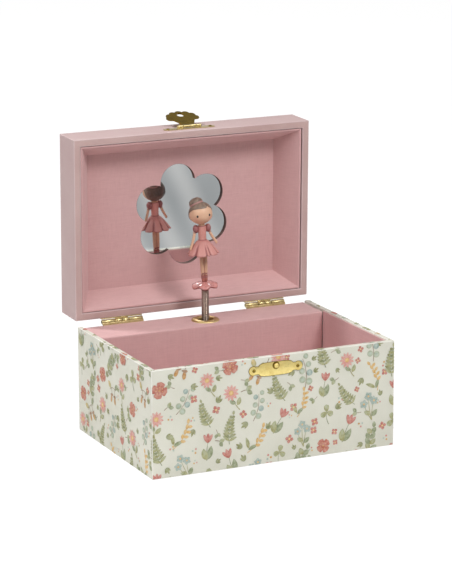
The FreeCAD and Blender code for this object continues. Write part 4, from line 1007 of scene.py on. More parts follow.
def poppy(sketch: MotifSketch) -> None:
    """Four broad red petals with a dark eye."""
    for index in range(4):
        sketch.blade((0, 0), 45 + index * 90, (5.2, 6.2), (Ink.BRICK, Ink.RUST), 0.95, rows=6)
    sketch.spot((0, 0), 1.1, (Ink.OCHRE, Ink.BRICK))
    for way in turns_of(7):
        sketch.spot((2.1 * cos(way), 2.1 * sin(way)), 0.32, POLLEN, 6)


def tulip(sketch: MotifSketch) -> None:
    """Closed cup on a straight stem between two long leaves."""
    sketch.stem((0, -9.5), (0.3, 2.5), 0.4, 0.6, Ink.MOSS)
    sketch.blade((0, -9), 62, (9.6, 3.0), MOSS_LEAF, 0.1, 26, 7)
    sketch.blade((0, -9), 122, (8.2, 3.0), OLIVE_LEAF, 0.1, -30, 7)
    for angle in (62, 118, 90):
        sketch.blade((0.3, 2.0), angle, (6.6, 3.9), ROSY, 0.45)


def coins(sketch: MotifSketch) -> None:
    """Bent twig with round blue-green leaves, set in turn on both sides."""
    path = sketch.stem((-1.6, -9.5), (1.4, 8.5), -1.6, 0.5, Ink.BARK, 8)
    for index in range(1, 8):
        side = 1 if index % 2 else -1
        inks = (Ink.HAZE, Ink.SAGE) if index % 3 else (Ink.HAZE, Ink.SLATE)
        sketch.spot((path[index][0] + side * 2.4, path[index][1] + 0.8), 2.2 - 0.08 * index, inks, 14)


def sprig(sketch: MotifSketch) -> None:
    """Bent twig with paired slender leaves."""
    path = sketch.stem((-2.5, -9.5), (1.8, 8.2), 1.7, 0.5, Ink.BARK, 11)
    for index in range(2, 10, 2):
        lean = 55 + 4 * index
        for side in (-1, 1):
            inks = MOSS_LEAF if (index + side) % 3 else OLIVE_LEAF
            sketch.blade(path[index], lean + side * 48, (6.2 - 0.2 * index, 2.5), inks, 0.2, -side * 14, 5)
    sketch.blade(path[-1], 85, (4.2, 2.0), MOSS_LEAF, 0.15, rows=4)


def fern(sketch: MotifSketch) -> None:
    """Feathered frond of narrow leaflets."""
    path = sketch.stem((1.5, -9.5), (-1.2, 8.5), 1.4, 0.5, Ink.MOSS, 10)
    for index in range(1, 9):
        for side in (-1, 1):
            inks = OLIVE_LEAF if index % 2 else (Ink.MOSS, Ink.OLIVE)
            size = (6.2 - 0.5 * index, 1.35)
            sketch.blade(path[index], 96 + side * 52, size, inks, 0.15, side * 18, 5)
    sketch.blade(path[-1], 98, (2.6, 1.2), OLIVE_LEAF, 0.2, rows=4)


def cluster(sketch: MotifSketch) -> None:
    """Three small blue-grey blossoms on a forked stem."""
    heads = ((-3.6, 2.4), (3.2, 3.2), (-0.1, 6.6))
    for head in heads:
        sketch.stem((0.4, -8.5), head, 0.5, 0.5, Ink.OLIVE)
    sketch.blade((0.4, -6.0), 30, (5.4, 2.3), MOSS_LEAF, 0.2, 20)
    sketch.blade((0.3, -4.6), 158, (5.0, 2.2), OLIVE_LEAF, 0.2, -20)
    for number, (x, y) in enumerate(heads):
        for index in range(5):
            sketch.blade((x, y), 20 * number + index * 72, (2.9, 2.6), (Ink.SLATE, Ink.HAZE), 0.9, rows=3)
        sketch.spot((x, y), 0.7, POLLEN, 8)


def ear(sketch: MotifSketch) -> None:
    """Nodding ear of grass with ochre grains."""
    path = sketch.stem((-1.4, -9.5), (2.2, 7.5), -2.0, 0.5, Ink.OCHRE, 12)
    sketch.blade((-1.8, -7), 118, (7.4, 1.7), OLIVE_LEAF, 0.1, 22, 5)
    sketch.blade((-1.6, -7.6), 50, (6.6, 1.7), MOSS_LEAF, 0.1, -16, 5)
    for index in range(4, 12):
        side = 1 if index % 2 else -1
        sketch.blade(path[index], 62 + side * 42, (3.4, 1.5), (Ink.OCHRE, Ink.HONEY), 0.35, rows=4)


def acorns(sketch: MotifSketch) -> None:
    """Two acorns that hang from a leafy twig."""
    sketch.stem((-4.5, 5.0), (4.5, 5.4), 1.4, 0.55, Ink.BARK)
    sketch.blade((-3.2, 5.8), 128, (5.6, 2.6), (Ink.OLIVE, Ink.HONEY), 0.3, 20)
    sketch.blade((3.2, 6.0), 48, (5.6, 2.6), MOSS_LEAF, 0.3, -20)
    for x, top, lean in ((-2.0, 2.2, -100), (2.3, 1.4, -80)):
        sketch.stem((x, 6), (x, top), 0.2, 0.45, Ink.BARK, 4)
        sketch.blade((x, top), lean, (5.4, 3.6), (Ink.UMBER, Ink.OCHRE), 0.6)
        sketch.blade((x - 2.1, top - 0.2), 0, (4.2, 2.2), (Ink.BARK, Ink.UMBER), 0.9, rows=5)


def trefoil(sketch: MotifSketch) -> None:
    """Three broad leaflets on a short stem."""
    sketch.stem((1.0, -8), (0, 0), 0.8, 0.5, Ink.MOSS)
    for angle in (90, 210, 330):
        sketch.blade((0, 0.4), angle, (5.0, 4.8), OLIVE_LEAF, 0.85)
        vein = (3.4 * cos(radians(angle)), 0.4 + 3.4 * sin(radians(angle)))
        sketch.stem((0, 0.4), vein, 0.0, 0.35, Ink.MOSS, 3)


def leaflet(sketch: MotifSketch) -> None:
    """Two small leaves on a short twig."""
    sketch.stem((-1.8, -1.8), (1.4, 1.4), 0.4, 0.4, Ink.BARK)
    sketch.blade((0, 0), 78, (3.6, 1.8), (Ink.SAGE, Ink.OLIVE), 0.2, rows=4)
    sketch.blade((0.4, 0.3), 8, (3.2, 1.7), MOSS_LEAF, 0.2, rows=4)


def blossom(sketch: MotifSketch) -> None:
    """Small rosy blossom of four petals."""
    for index in range(4):
        sketch.blade((0, 0), index * 90, (2.2, 2.2), ROSY, 0.9, rows=3)
    sketch.spot((0, 0), 0.55, (Ink.HONEY, Ink.HONEY), 6)


def tuft(sketch: MotifSketch) -> None:
    """Three blades of grass."""
    for angle, long in ((62, 3.4), (92, 4.2), (120, 3.2)):
        sketch.blade((0, -1.8), angle, (long, 1.0), (Ink.MOSS, Ink.OLIVE), 0.1, rows=4)


def seeds(sketch: MotifSketch) -> None:
    """Three loose dots."""
    for x, y, ink in ((-1.0, -0.5, Ink.OCHRE), (0.9, -0.7, Ink.ROSE), (0.1, 1.0, Ink.HAZE)):
        sketch.spot((x, y), 0.55, (ink, ink), 8)


LARGE_MOTIFS = (daisy, sprig, tulip, coins, poppy, cluster, fern, acorns, trefoil, ear)
SMALL_MOTIFS = (leaflet, blossom, tuft, seeds)


@dataclass
class PrintedBase:
    """Base box in cream paper with a floral print that runs round its four sides and over its rim."""

    width: float = 180.0
    depth: float = 128.0
    height: float = 74.0
    wall: float = 3.6
    back_wall: float = 5.0
    back_height: float = 72.0
    rounding: float = 0.4
    cover: Triple = (85.2, 33.5, 72.8)
    cover_board: float = 2.5
    cover_rounding: float = 1.4
    floor: float = 3.0
    post: Pair = (47.5, 6.55)
    key: Pair = (-45.9, 34.0)
    key_hole: float = 2.4
    print_gap: float = 0.05
    print_lift: float = 0.03
    column: float = 17.6
    row: float = 21.5
    first_row: float = 7.0
    large_drift: Pair = (1.6, 1.5)
    large_lean: float = 30.0
    large_size: Pair = (0.98, 1.16)
    small_drift: Pair = (2.0, 1.5)
    small_size: Pair = (1.0, 1.5)
    seed: int = 11

    def build(self) -> list[Piece]:
        """Make the covered walls, the print, the compartment's cover and the key's eyelet.

        Returns:
            The new pieces.
        """
        made = [self.walls(), self.compartment_cover(), self.print_layer(), *self.key_eyelet()]
        walls = ("base_front_wall", "base_back_wall", "base_left_wall", "base_right_wall")
        cover = ("movement_cover_front", "movement_cover_top")
        slots = ("printed_board", "lined_board", "printed_board", "fitting_brass", "printed_board")
        for piece, slot, nodes in zip(made, slots, (walls, cover, (), (), ())):
            fit(piece, "base", slot, *nodes)
        return made

    def walls(self) -> Piece:
        """Four covered walls in one piece, with rounded and paler edges; the back one is lower.

        Returns:
            The new piece.
        """
        x, y = self.width / 2, self.depth / 2
        inner = x - self.wall
        around = (
            (-x, y), (-x, -y), (x, -y), (x, y), (inner, y), (inner, self.wall - y), (-inner, self.wall - y),
            (-inner, y),
        )
        outline = [Vector((*corner, 0)) for corner in around]
        rise = Vector((0, 0, self.height))
        sides = plate("base_covered_walls", outline, rise, CREAM_PAPER, self.rounding, CREAM_EDGE)
        low, high = (-inner, y - self.back_wall, 0), (inner, y, self.back_height)
        return join(sides, [block("base_back_board", low, high, CREAM_PAPER, self.rounding, CREAM_EDGE)])

    def compartment_cover(self) -> Piece:
        """Lined board over the movement, folded softly at its front edge and open round the post.

        Returns:
            The new piece.
        """
        half, front, top = self.cover
        fold = self.cover_rounding
        back, inner = self.depth / 2, self.depth / 2 - self.back_wall
        under = top - self.cover_board
        profile = [
            (front + self.cover_board, self.floor), (front + self.cover_board, under), (inner, under),
            (inner, self.back_height), (back, self.back_height), (back, top),
        ]
        for turn in range(90, 181, 15):
            way = radians(turn)
            profile.append((front + fold + fold * cos(way), top - fold + fold * sin(way)))
        profile.append((front, self.floor))
        outline = [Vector((-half, *point)) for point in profile]
        cover = plate("compartment_cover", outline, Vector((2 * half, 0, 0)), LINING, 0.2)
        outline = [(self.post[1], under - 2), (self.post[1], top + 2)]
        drill = loft("drill", lathe(outline, moved((0, self.post[0], 0)), 48), LINING)
        bore = cover.modifiers.new("bore", "BOOLEAN")
        bore.operation = "DIFFERENCE"
        bore.object = drill
        settle(cover)
        bpy.data.objects.remove(drill)
        shade_by_angle(cover.data, 40)
        return cover

    def key_eyelet(self) -> list[Piece]:
        """Brass ring round the key's hole in the back, and a dark disc in the hole that paints its shadow.

        Returns:
            The new pieces.
        """
        turn = moved((self.key[0], self.depth / 2, self.key[1])) @ turned(-90, "X")
        hole = self.key_hole
        outline = [
            (hole, -0.4), (hole, 0.35), (hole + 0.5, 0.6), (hole + 1.3, 0.5), (hole + 1.8, 0.15),
            (hole + 1.8, -0.4),
        ]
        ring = loft("key_eyelet", lathe(outline, turn, 48), HINGE_BRASS, looped=True, crisp=60)
        # A dark disc inside the hole paints the hole's shadow.
        shadow = [(0.05, 0.02), (hole - 0.1, 0.02), (hole + 0.05, 0.08), (hole + 0.05, -0.3), (0.05, -0.3)]
        return [ring, loft("key_hole_depth", lathe(shadow, turn, 32), SHADED_CUT_EDGE)]

    def print_layer(self) -> Piece:
        """Scatter the motifs over the flat sheet, then fold the sheet round the box.

        Returns:
            The new piece.
        """
        shelf = bpy.data.collections.new("print_motifs")
        for index, draw in enumerate(LARGE_MOTIFS + SMALL_MOTIFS):
            sketch = MotifSketch()
            draw(sketch)
            shelf.objects.link(sketch.build(f"motif_{index:02d}"))
        sheet = self.sheet_points()
        inputs = {"Motifs": "NodeSocketCollection", "Motif Size": "NodeSocketFloat"}
        recipe = NodeRecipe("print_scatter", inputs)
        motifs = recipe.add("GeometryNodeCollectionInfo", {
            "Collection": recipe.inputs["Motifs"], "Separate Children": True, "Reset Children": True,
        })
        turn = recipe.add("ShaderNodeCombineXYZ", {"Z": recipe.named("turn", "FLOAT")})
        stamps = recipe.add("GeometryNodeInstanceOnPoints", {
            "Points": recipe.inputs["Geometry"], "Instance": motifs.outputs["Instances"],
            "Pick Instance": True, "Instance Index": recipe.named("kind", "INT"),
            "Rotation": turn.outputs["Vector"],
            "Scale": recipe.math("MULTIPLY", recipe.named("size", "FLOAT"), recipe.inputs["Motif Size"]),
        })
        recipe.close(stamps.outputs["Instances"], PRINT)
        recipe.make(sheet, {"Motifs": shelf, "Motif Size": 1.0})
        for motif in list(shelf.objects):
            bpy.data.objects.remove(motif)
        bpy.data.collections.remove(shelf)
        self.fold(sheet.data)
        return sheet

    def sheet_points(self) -> Piece:
        """Points of the flat sheet in a half-drop grid, each with a motif, a turn and a size.

        Returns:
            Object with the points, in millimetres.
        """
        dice = random.Random(self.seed)
        around = 2 * (self.width + self.depth)
        stamps = []

        def stamp(x: float, y: float, kind: int, turn: float, size: float) -> None:
            """Note one motif."""
            stamps.append(((x, y, self.print_lift * (len(stamps) % 5)), kind, radians(turn), size))

        def vary(reach: float) -> float:
            """Random step to either side."""
            return dice.uniform(-reach, reach)

        columns = round(around / self.column)
        pitch = around / columns
        rows = ceil((self.height + self.wall) / self.row) + 1
        for column in range(columns):
            for row in range(rows):
                drop = self.row / 2 if column % 2 else 0.0
                x = (column + 0.5) * pitch + vary(self.large_drift[0])
                y = row * self.row - drop + self.first_row + vary(self.large_drift[1])
                kind = (column * 3 + row * 4 + column // 5) % len(LARGE_MOTIFS)
                stamp(x, y, kind, vary(self.large_lean), dice.uniform(*self.large_size))
                for side in (0.33, 0.66):
                    small = len(LARGE_MOTIFS) + dice.randrange(len(SMALL_MOTIFS))
                    off_x = pitch * 0.5 + vary(self.small_drift[0])
                    off_y = self.row * (side - 0.25) + vary(self.small_drift[1])
                    turn = dice.uniform(0, 360)
                    stamp(x + off_x, y + off_y, small, turn, dice.uniform(*self.small_size))
        points, kinds, turns, sizes = zip(*stamps)
        mesh = bpy.data.meshes.new("base_floral_print")
        mesh.from_pydata(points, [], [])
        layers = (("kind", "INT", kinds), ("turn", "FLOAT", turns), ("size", "FLOAT", sizes))
        for name, kind, values in layers:
            mesh.attributes.new(name, kind, "POINT").data.foreach_set("value", values)
        return new_object("base_floral_print", mesh)

    def fold(self, mesh: bpy.types.Mesh) -> None:
        """Cut the flat print at the box's edges and wrap it round the box.

        Args:
            mesh: Flat print, in millimetres; it is changed in place.
        """
        turns = (self.depth, self.width, self.depth, self.width)
        model = bmesh.new()
        model.from_mesh(mesh)
        starts = [sum(turns[:index]) for index in range(4)]

        def slice_at(x: float, y: float, across: Pair, drop: bool = False) -> None:
            """Cut along a line, and drop what lies past it if asked."""
            bmesh.ops.bisect_plane(
                model, geom=model.verts[:] + model.edges[:] + model.faces[:], dist=1e-6,
                plane_co=(x, y, 0), plane_no=(*across, 0), clear_outer=drop,
            )

        def side_of(face: bmesh.types.BMFace) -> int:
            """Number of the side that a face lies on."""
            middle = face.calc_center_median()
            return max(index for index in range(4) if middle.x >= starts[index])

        edge = self.rounding
        slice_at(0, edge, (0, -1), True)
        slice_at(0, self.height + self.wall - edge, (0, 1), True)
        slice_at(edge, 0, (-1, 0), True)
        slice_at(sum(turns) - edge, 0, (1, 0), True)
        for height in (self.back_height - edge, self.height - edge, self.height + edge):
            slice_at(0, height, (0, 1))
        for start in starts[1:]:
            for shift in (-edge, edge):
                slice_at(start + shift, 0, (1, 0))
        for start in starts[1:3]:
            for lean in (-1, 1):
                slice_at(start, self.height, (1, lean))
        doomed = []
        for face in model.faces:
            middle = face.calc_center_median()
            side = side_of(face)
            along = middle.x - starts[side]
            left = turns[side] - along
            over = middle.y - self.height
            mitre = (left, min(along, left), along, 0)[side]
            past_back = side == 3 and middle.y > self.back_height - edge
            if min(along, left) < edge or abs(over) < edge or mitre < over + edge or past_back:
                doomed.append(face)
        bmesh.ops.delete(model, geom=doomed, context="FACES")
        half_x = self.width / 2 + self.print_gap
        half_y = self.depth / 2 + self.print_gap
        corners = ((-half_x, half_y), (-half_x, -half_y), (half_x, -half_y), (half_x, half_y))
        ways = [Vector(way) for way in ((0, -1), (1, 0), (0, 1), (-1, 0))]
        homes = {}
        for face in model.faces:
            homes.update(dict.fromkeys(face.verts, side_of(face)))
        for vert, home in homes.items():
            along = vert.co.x - starts[home] + self.print_gap
            over = vert.co.y - self.height
            inset = over + self.print_gap if over > 0 else -vert.co.z
            level = self.height + self.print_gap + vert.co.z if over > 0 else vert.co.y
            inward = ways[(home + 1) % 4]
            place = Vector(corners[home]) + ways[home] * along + inward * inset
            vert.co = Vector((*place, level)) * MM
        model.to_mesh(mesh)
        model.free()


@dataclass
class CoveredLid:
    """Lid in pink paper, open on its hinges, with a sloped lining round a lobed mirror window."""

    width: float = 180.0
    depth: float = 128.0
    height: float = 26.5
    wall: float = 5.0
    board: float = 2.5
    rim: float = 75.6
    hinge: Pair = (66.4, 74.8)
    angle: float = 89.0
    rounding: float = 0.5
    card: float = 1.2
    card_level: float = 76.4
    gaps: tuple[float, float, float, float] = (0.3, 0.6, 0.3, 0.2)
    panel: Triple = (72.0, 48.2, 96.1)
    glass_level: float = 98.1
    lobes: Triple = (23.3, 13.5, 37.5)
    cut: Pair = (-0.05, 0.15)

    def place(self) -> Matrix:
        """Carry the closed lid's frame to the open lid."""
        pivot = Vector((0, *self.hinge))
        return moved(pivot) @ turned(-self.angle, "X") @ moved(-pivot)

    def build(self) -> list[Piece]:
        """Make the covered lid, its lining and the window's cut edge, and set them on the hinges.

        Returns:
            The new pieces.
        """
        made = [self.shell(), self.lining(), self.window_edge()]
        walls = ("lid_top", "lid_front_wall", "lid_back_wall", "lid_left_wall", "lid_right_wall")
        liners = ("lid_front_liner", "lid_right_liner", "lid_back_liner", "lid_left_liner")
        slots = ("lid_board", "lined_board", "plain_board")
        for piece, slot, nodes in zip(made, slots, (walls, liners, ())):
            fit(piece, "lid", slot, *nodes)
        return made

    def frame_at(self, x: float, y: float, level: float, gaps: Sequence[float]) -> Ring:
        """Corners of a level frame, carried to the open lid.

        Args:
            x: Half its width.
            y: Half its depth.
            level: Its height in the closed lid.
            gaps: How far it is drawn in at its front, right, back and left.

        Returns:
            The corners.
        """
        front, right, back, left = gaps
        sides = ((left - x, front - y), (x - right, front - y), (x - right, y - back), (left - x, y - back))
        return [self.place() @ Vector((*side, level)) for side in sides]

    def shell(self) -> Piece:
        """Top board and four walls covered in paper that turns in over the rim.

        Returns:
            The new piece.
        """
        levels = ((self.wall, self.height - self.board), (self.wall, 0), (0, 0), (0, self.height))
        half = (self.width / 2, self.depth / 2)
        rings = [self.frame_at(*half, self.rim + level, (inset,) * 4) for inset, level in levels]
        piece = loft("lid_covered_shell", rings, LID_PAPER)
        piece.data.materials.append(LID_RIM.material())
        inside_and_rim, inside_top = piece.data.polygons[:8], piece.data.polygons[12]
        for face in (*inside_and_rim, inside_top):
            face.material_index = 1
        return soften(piece, self.rounding, LID_EDGE)

    def lining(self) -> Piece:
        """Four sloped strips of lined card between the rim and the mirror's panel.

        Returns:
            The new piece.
        """
        half = (self.width / 2 - self.wall, self.depth / 2 - self.wall)
        inner = [gap + self.card for gap in self.gaps]
        rings = [self.frame_at(*half, self.card_level, gaps) for gaps in (self.gaps, inner)]
        rings += [self.frame_at(*self.panel, (gap,) * 4) for gap in (0, -self.card)]
        return soften(loft("lid_sloped_lining", rings, LINING, looped=True), 0.3)

    def window_edge(self) -> Piece:
        """Cut edge of the board round the mirror's lobed window, in a dark finish that paints the shade in
        the gap over the mirror.

        Returns:
            The new piece.
        """
        orbit, radius, first = self.lobes
        turns = [radians(first - 60 * index) for index in range(6)]
        middles = [(orbit * cos(turn), -orbit * sin(turn)) for turn in turns]
        swing = self.place()
        high, low = self.panel[2] + 0.1, self.glass_level - 0.02
        rings = []
        outer, inner = self.cut
        for inset, level in ((outer, high), (outer, low), (inner, low), (inner, high)):
            ring = []
            for turn in turns_of(288):
                reach = reach_of((0, 0), turn, middles, radius) - inset
                ring.append(swing @ Vector((reach * cos(turn), reach * sin(turn), level)))
            rings.append(ring)
        return loft("mirror_window_edge", rings, SHADED_CUT_EDGE, looped=True)


@dataclass
class Hinges:
    """Two brass hinges: leaves on the back faces and rolled knuckles on a pin."""

    middle: float = 55.5
    length: float = 31.0
    leaf: Pair = (64.0, 64.7)
    axis: Pair = (66.4, 74.8)
    roll: float = 1.55
    chamfer: float = 0.4
    gap: float = 0.3
    seam: float = 0.12
    base_leaf: Triple = (66.0, 73.25, 74.45)
    lid_leaf: Triple = (83.6, 76.35, 75.15)

    def build(self, lid: CoveredLid) -> list[Piece]:
        """Make the halves on the base and on the lid.

        Args:
            lid: Lid whose frame carries its halves.

        Returns:
            The new pieces.
        """
        half = self.length / 2
        knuckle = (self.length - 2 * self.gap) / 3
        outer = ((-half, knuckle - half), (half - knuckle, half))
        centre = ((-knuckle / 2, -self.seam), (self.seam, knuckle / 2))
        made = []
        for body, levels, rolls, place in (
            ("base", self.base_leaf, outer, Matrix()), ("lid", self.lid_leaf, centre, lid.place())
        ):
            parts = []
            for side in (-1, 1):
                parts += self.half(side * self.middle, levels, rolls)
            piece = move(join(parts[0], parts[1:]), place)
            piece.name = f"hinge_{body}_halves"
            fit(piece, body, "fitting_brass", f"left_hinge_{body}_leaf", f"right_hinge_{body}_leaf")
            made.append(piece)
        return made

    def half(self, x: float, levels: Triple, rolls: Sequence[Pair]) -> list[Piece]:
        """Leaf, webs and knuckles of one half.

        Args:
            x: Middle of the hinge.
            levels: Heights of the leaf's far edge, and of its web's far and near side.
            rolls: Start and end of each knuckle, from the middle.

        Returns:
            The new pieces, closed.
        """
        far, web_far, web_near = levels
        low, high = sorted((far, web_near))
        reach = self.length / 2
        corners = (x - reach, self.leaf[0], low), (x + reach, self.leaf[1], high)
        parts = [block("hinge_leaf", *corners, HINGE_BRASS, 0.2)]
        low, high = sorted((web_far, web_near))
        for start, end in rolls:
            corners = (x + start + 0.05, self.leaf[0] + 0.1, low), (x + end - 0.05, self.axis[0], high)
            parts.append(block("hinge_web", *corners, HINGE_BRASS, 0.1))
            long = (end - start) / 2
            straight, flat = long - self.chamfer, self.roll - self.chamfer
            outline = [
                (self.roll * 0.5, -long), (flat, -long), (self.roll, -straight), (self.roll, straight),
                (flat, long), (self.roll * 0.5, long),
            ]
            turn = moved((x + start + long, *self.axis)) @ turned(90, "Y")
            parts.append(loft("hinge_knuckle", lathe(outline, turn, 32), HINGE_BRASS, crisp=60))
        return parts


@dataclass
class Latch:
    """Brass plate with a domed knob on the base, and the shell-shaped hasp that drops over it."""

    face: float = -64.0
    height: float = 65.4
    sheet: float = 0.6
    ends: Pair = (16.7, 3.3)
    bridge: float = 2.8
    middle: Pair = (12.6, 4.8)
    squareness: float = 5
    knob_height: float = 67.6
    knob: Triple = (1.0, 1.75, 2.1)
    knob_levels: Pair = (0.55, 0.8)
    collar: float = 2.6
    hasp_axis: Pair = (72.8897, 207.2334)
    hasp_swing: float = 108.0
    hasp_sheet: float = 0.8
    lobes: int = 7
    lobe_spread: Pair = (9.5, 7.2)
    lobe_drop: float = 11.5
    lobe_radius: float = 3.0
    hole: Pair = (16.0, 2.6)
    neck: Pair = (4.5, 1.4)
    barrel: Pair = (4.7, 1.0)
    flutes: tuple[int, float] = (18, 0.14)
    lips: Pair = (0.2, 0.22)

    def build(self) -> list[Piece]:
        """Make the plate, knob and hasp.

        Returns:
            The new pieces.
        """
        made = [self.latch_plate(), self.catch_knob(), self.hasp()]
        for piece, body, node in zip(made, ("base", "base", "hasp"), ("latch_plate", "catch_knob", "hasp")):
            fit(piece, body, "fitting_brass", node)
        return made

    def half_height(self, x: float) -> float:
        """Half the plate's height at a place along it."""
        half, rise = self.middle
        heights = [0.0]
        if abs(x) < half:
            heights.append(self.bridge + (rise - self.bridge) * sqrt(1 - abs(x / half) ** self.squareness))
        if abs(x) < self.ends[0]:
            heights.append(self.bridge)
        off = abs(abs(x) - self.ends[0])
        if off < self.ends[1]:
            heights.append(sqrt(self.ends[1] ** 2 - off ** 2))
        return max(heights)

    def latch_plate(self) -> Piece:
        """Plate with a raised middle and round ends, whose rounded edges are dark brass that paints their
        shadowed outline.

        Returns:
            The new piece.
        """
        reach = sum(self.ends)
        steps = 120
        places = [-reach * cos(pi * index / steps) for index in range(1, steps)]
        upper = [Vector((x, self.face, self.height + self.half_height(x))) for x in places]
        lower = [Vector((x, self.face, self.height - self.half_height(x))) for x in reversed(places)]
        outline = [Vector((-reach, self.face, self.height))] + upper
        outline += [Vector((reach, self.face, self.height))] + lower
        return plate("latch_scallop_plate", outline, Vector((0, -self.sheet, 0)), BRASS, 0.4, DARK_BRASS)

    def catch_knob(self) -> Piece:
        """Domed knob on a short neck over a dark brass collar that paints the shade round the knob's foot.

        Returns:
            The new piece.
        """
        stem, head, reach = self.knob
        turn = moved((0, self.face - self.sheet, self.knob_height)) @ turned(90, "X")
        neck, level = self.knob_levels
        outline = [(stem, -3.0), (stem, neck), (head, level)]
        outline += [
            (head * cos(radians(angle)), level + (reach - level) * sin(radians(angle)))
            for angle in (20, 40, 60, 80)
        ]
        dome = loft("catch_knob_dome", lathe(outline, turn, 32), BRASS, crisp=60)
        wide = self.collar
        ring = [(stem, -0.1), (wide, -0.1), (wide, 0.12), (wide - 0.3, 0.22), (stem, 0.12)]
        collar = loft("catch_knob_collar", lathe(ring, turn, 40), DARK_BRASS, looped=True, crisp=60)
        return join(dome, [collar])

    def hasp(self) -> Piece:
        """Fluted fan with its hole and its rolled knuckle, swung up and back.

        Returns:
            The new piece.
        """
        count, rows = 144, 7
        half = self.hasp_sheet / 2
        flutes, flute_depth = self.flutes
        hole_lip, rim_drop = self.lips
        drop, bore = self.hole
        wide, root = self.neck[0], (-self.neck[1], -self.barrel[1] / 2)
        turns = [pi + pi * index / (self.lobes - 1) for index in range(self.lobes)]
        spread, depth = self.lobe_spread
        middles = [(spread * cos(turn), depth * sin(turn) - self.lobe_drop) for turn in turns]
        corners = [(-wide, root[1]), (-wide, root[0]), *middles, (wide, root[0]), (wide, root[1])]
        fronts, backs = [], []
        for row in range(rows + 1):
            share = row / rows
            front, back = [], []
            for turn in turns_of(count):
                edge = reach_of((0, -drop), turn, middles, self.lobe_radius, corners)
                reach = bore + (edge - bore) * share
                point = Vector((reach * cos(turn), 0, reach * sin(turn) - drop))
                fan = atan2(point.x, -point.z)
                flute = flute_depth * cos(fan * flutes) * smooth(share * 1.4 - 0.3)
                lip = hole_lip * max(0.0, 1 - share * 5) - rim_drop * max(0.0, share * 6 - 5)
                front.append(point + Vector((0, -half - flute - lip, 0)))
                back.append(point + Vector((0, half, 0)))
            fronts.append(front)
            backs.append(back)
        place = moved((0, *self.hasp_axis)) @ turned(self.hasp_swing, "X")
        placed = [[place @ point for point in ring] for ring in fronts + backs[::-1]]
        # The shell's darkened brass paints its shade and dark reflection.
        shell = loft("hasp_shell", placed, SHADED_HASP_BRASS, looped=True, crisp=60)
        reach, radius = self.barrel
        inner = radius * 0.55
        outline = [(inner, -reach), (radius, 0.15 - reach), (radius, reach - 0.15), (inner, reach)]
        rings = lathe(outline, place @ turned(90, "Y"), 28)
        return join(shell, [loft("hasp_knuckle", rings, HINGE_BRASS)])


@dataclass
class Nails:
    """Domed heads of the nails in the plates and the hinges."""

    head_radius: float = 1.2
    head_height: float = 0.6
    latch: Triple = (16.2, -64.6, 65.4)
    hinge_face: float = 64.7
    base_hinge_height: float = 69.5
    hinge_middle: float = 55.5
    hinge_spacing: float = 20.0
    hasp_plate_height: float = 83.6
    lid_hinge_height: float = 80.1

    def build(self, lid: CoveredLid) -> list[Piece]:
        """Make the nails of the base and of the lid.

        Args:
            lid: Lid whose frame carries its nails.

        Returns:
            The new pieces.
        """
        x, face, height = self.latch
        reach = self.hinge_spacing / 2
        hinge_x = [side * self.hinge_middle + off for side in (-1, 1) for off in (-reach, reach)]
        forward, backward = Vector((0, -1, 0)), Vector((0, 1, 0))

        def rows(plate_height: float, hinge_height: float) -> list[tuple[Vector, Vector]]:
            """Places of two nails in a plate and four in the hinges, each with its direction."""
            front = [(Vector((side * x, face, plate_height)), forward) for side in (-1, 1)]
            return front + [(Vector((place, self.hinge_face, hinge_height)), backward) for place in hinge_x]

        swing = lid.place()
        closed = rows(self.hasp_plate_height, self.lid_hinge_height)
        opened = [(swing @ point, swing.to_3x3() @ way) for point, way in closed]
        base = rows(height, self.base_hinge_height)
        made = []
        for body, nails in (("base", base), ("lid", opened)):
            made.append(self.heads(f"{body}_nail_heads", nails))
            fit(made[-1], body, "fitting_brass", f"{body}_nails")
        return made

    def heads(self, name: str, nails: Sequence[tuple[Vector, Vector]]) -> Piece:
        """Stamp a domed head on each nail's place.

        Args:
            name: Name of the piece.
            nails: Place and outward direction of each nail.

        Returns:
            The new piece.
        """
        mesh = bpy.data.meshes.new(name)
        mesh.from_pydata([point * MM for point, _ in nails], [], [])
        layer = mesh.attributes.new("facing", "FLOAT_VECTOR", "POINT")
        layer.data.foreach_set("vector", [share for _, way in nails for share in way])
        piece = new_object(name, mesh)
        recipe = NodeRecipe(name, {"Head Radius": "NodeSocketFloat", "Head Height": "NodeSocketFloat"})
        dome = recipe.add("GeometryNodeMeshUVSphere", {"Segments": 20, "Rings": 10, "Radius": 1.0})
        smoothed = recipe.add("GeometryNodeSetShadeSmooth", {"Geometry": dome.outputs["Mesh"]})
        radius, rise = recipe.inputs["Head Radius"], recipe.inputs["Head Height"]
        flat = recipe.add("ShaderNodeCombineXYZ", {"X": radius, "Y": radius, "Z": rise})
        facing = recipe.named("facing", "FLOAT_VECTOR")
        aim = recipe.add("FunctionNodeAlignRotationToVector", {"Vector": facing}, axis="Z")
        stamps = recipe.add("GeometryNodeInstanceOnPoints", {
            "Points": recipe.inputs["Geometry"], "Instance": smoothed.outputs["Geometry"],
            "Rotation": aim.outputs["Rotation"], "Scale": flat.outputs["Vector"],
        })
        # Dark brass heads: their colour paints the shade on the nail heads.
        recipe.close(stamps.outputs["Instances"], DARK_BRASS)
        return recipe.make(
            piece, {"Head Radius": self.head_radius * MM, "Head Height": self.head_height * MM}
        )


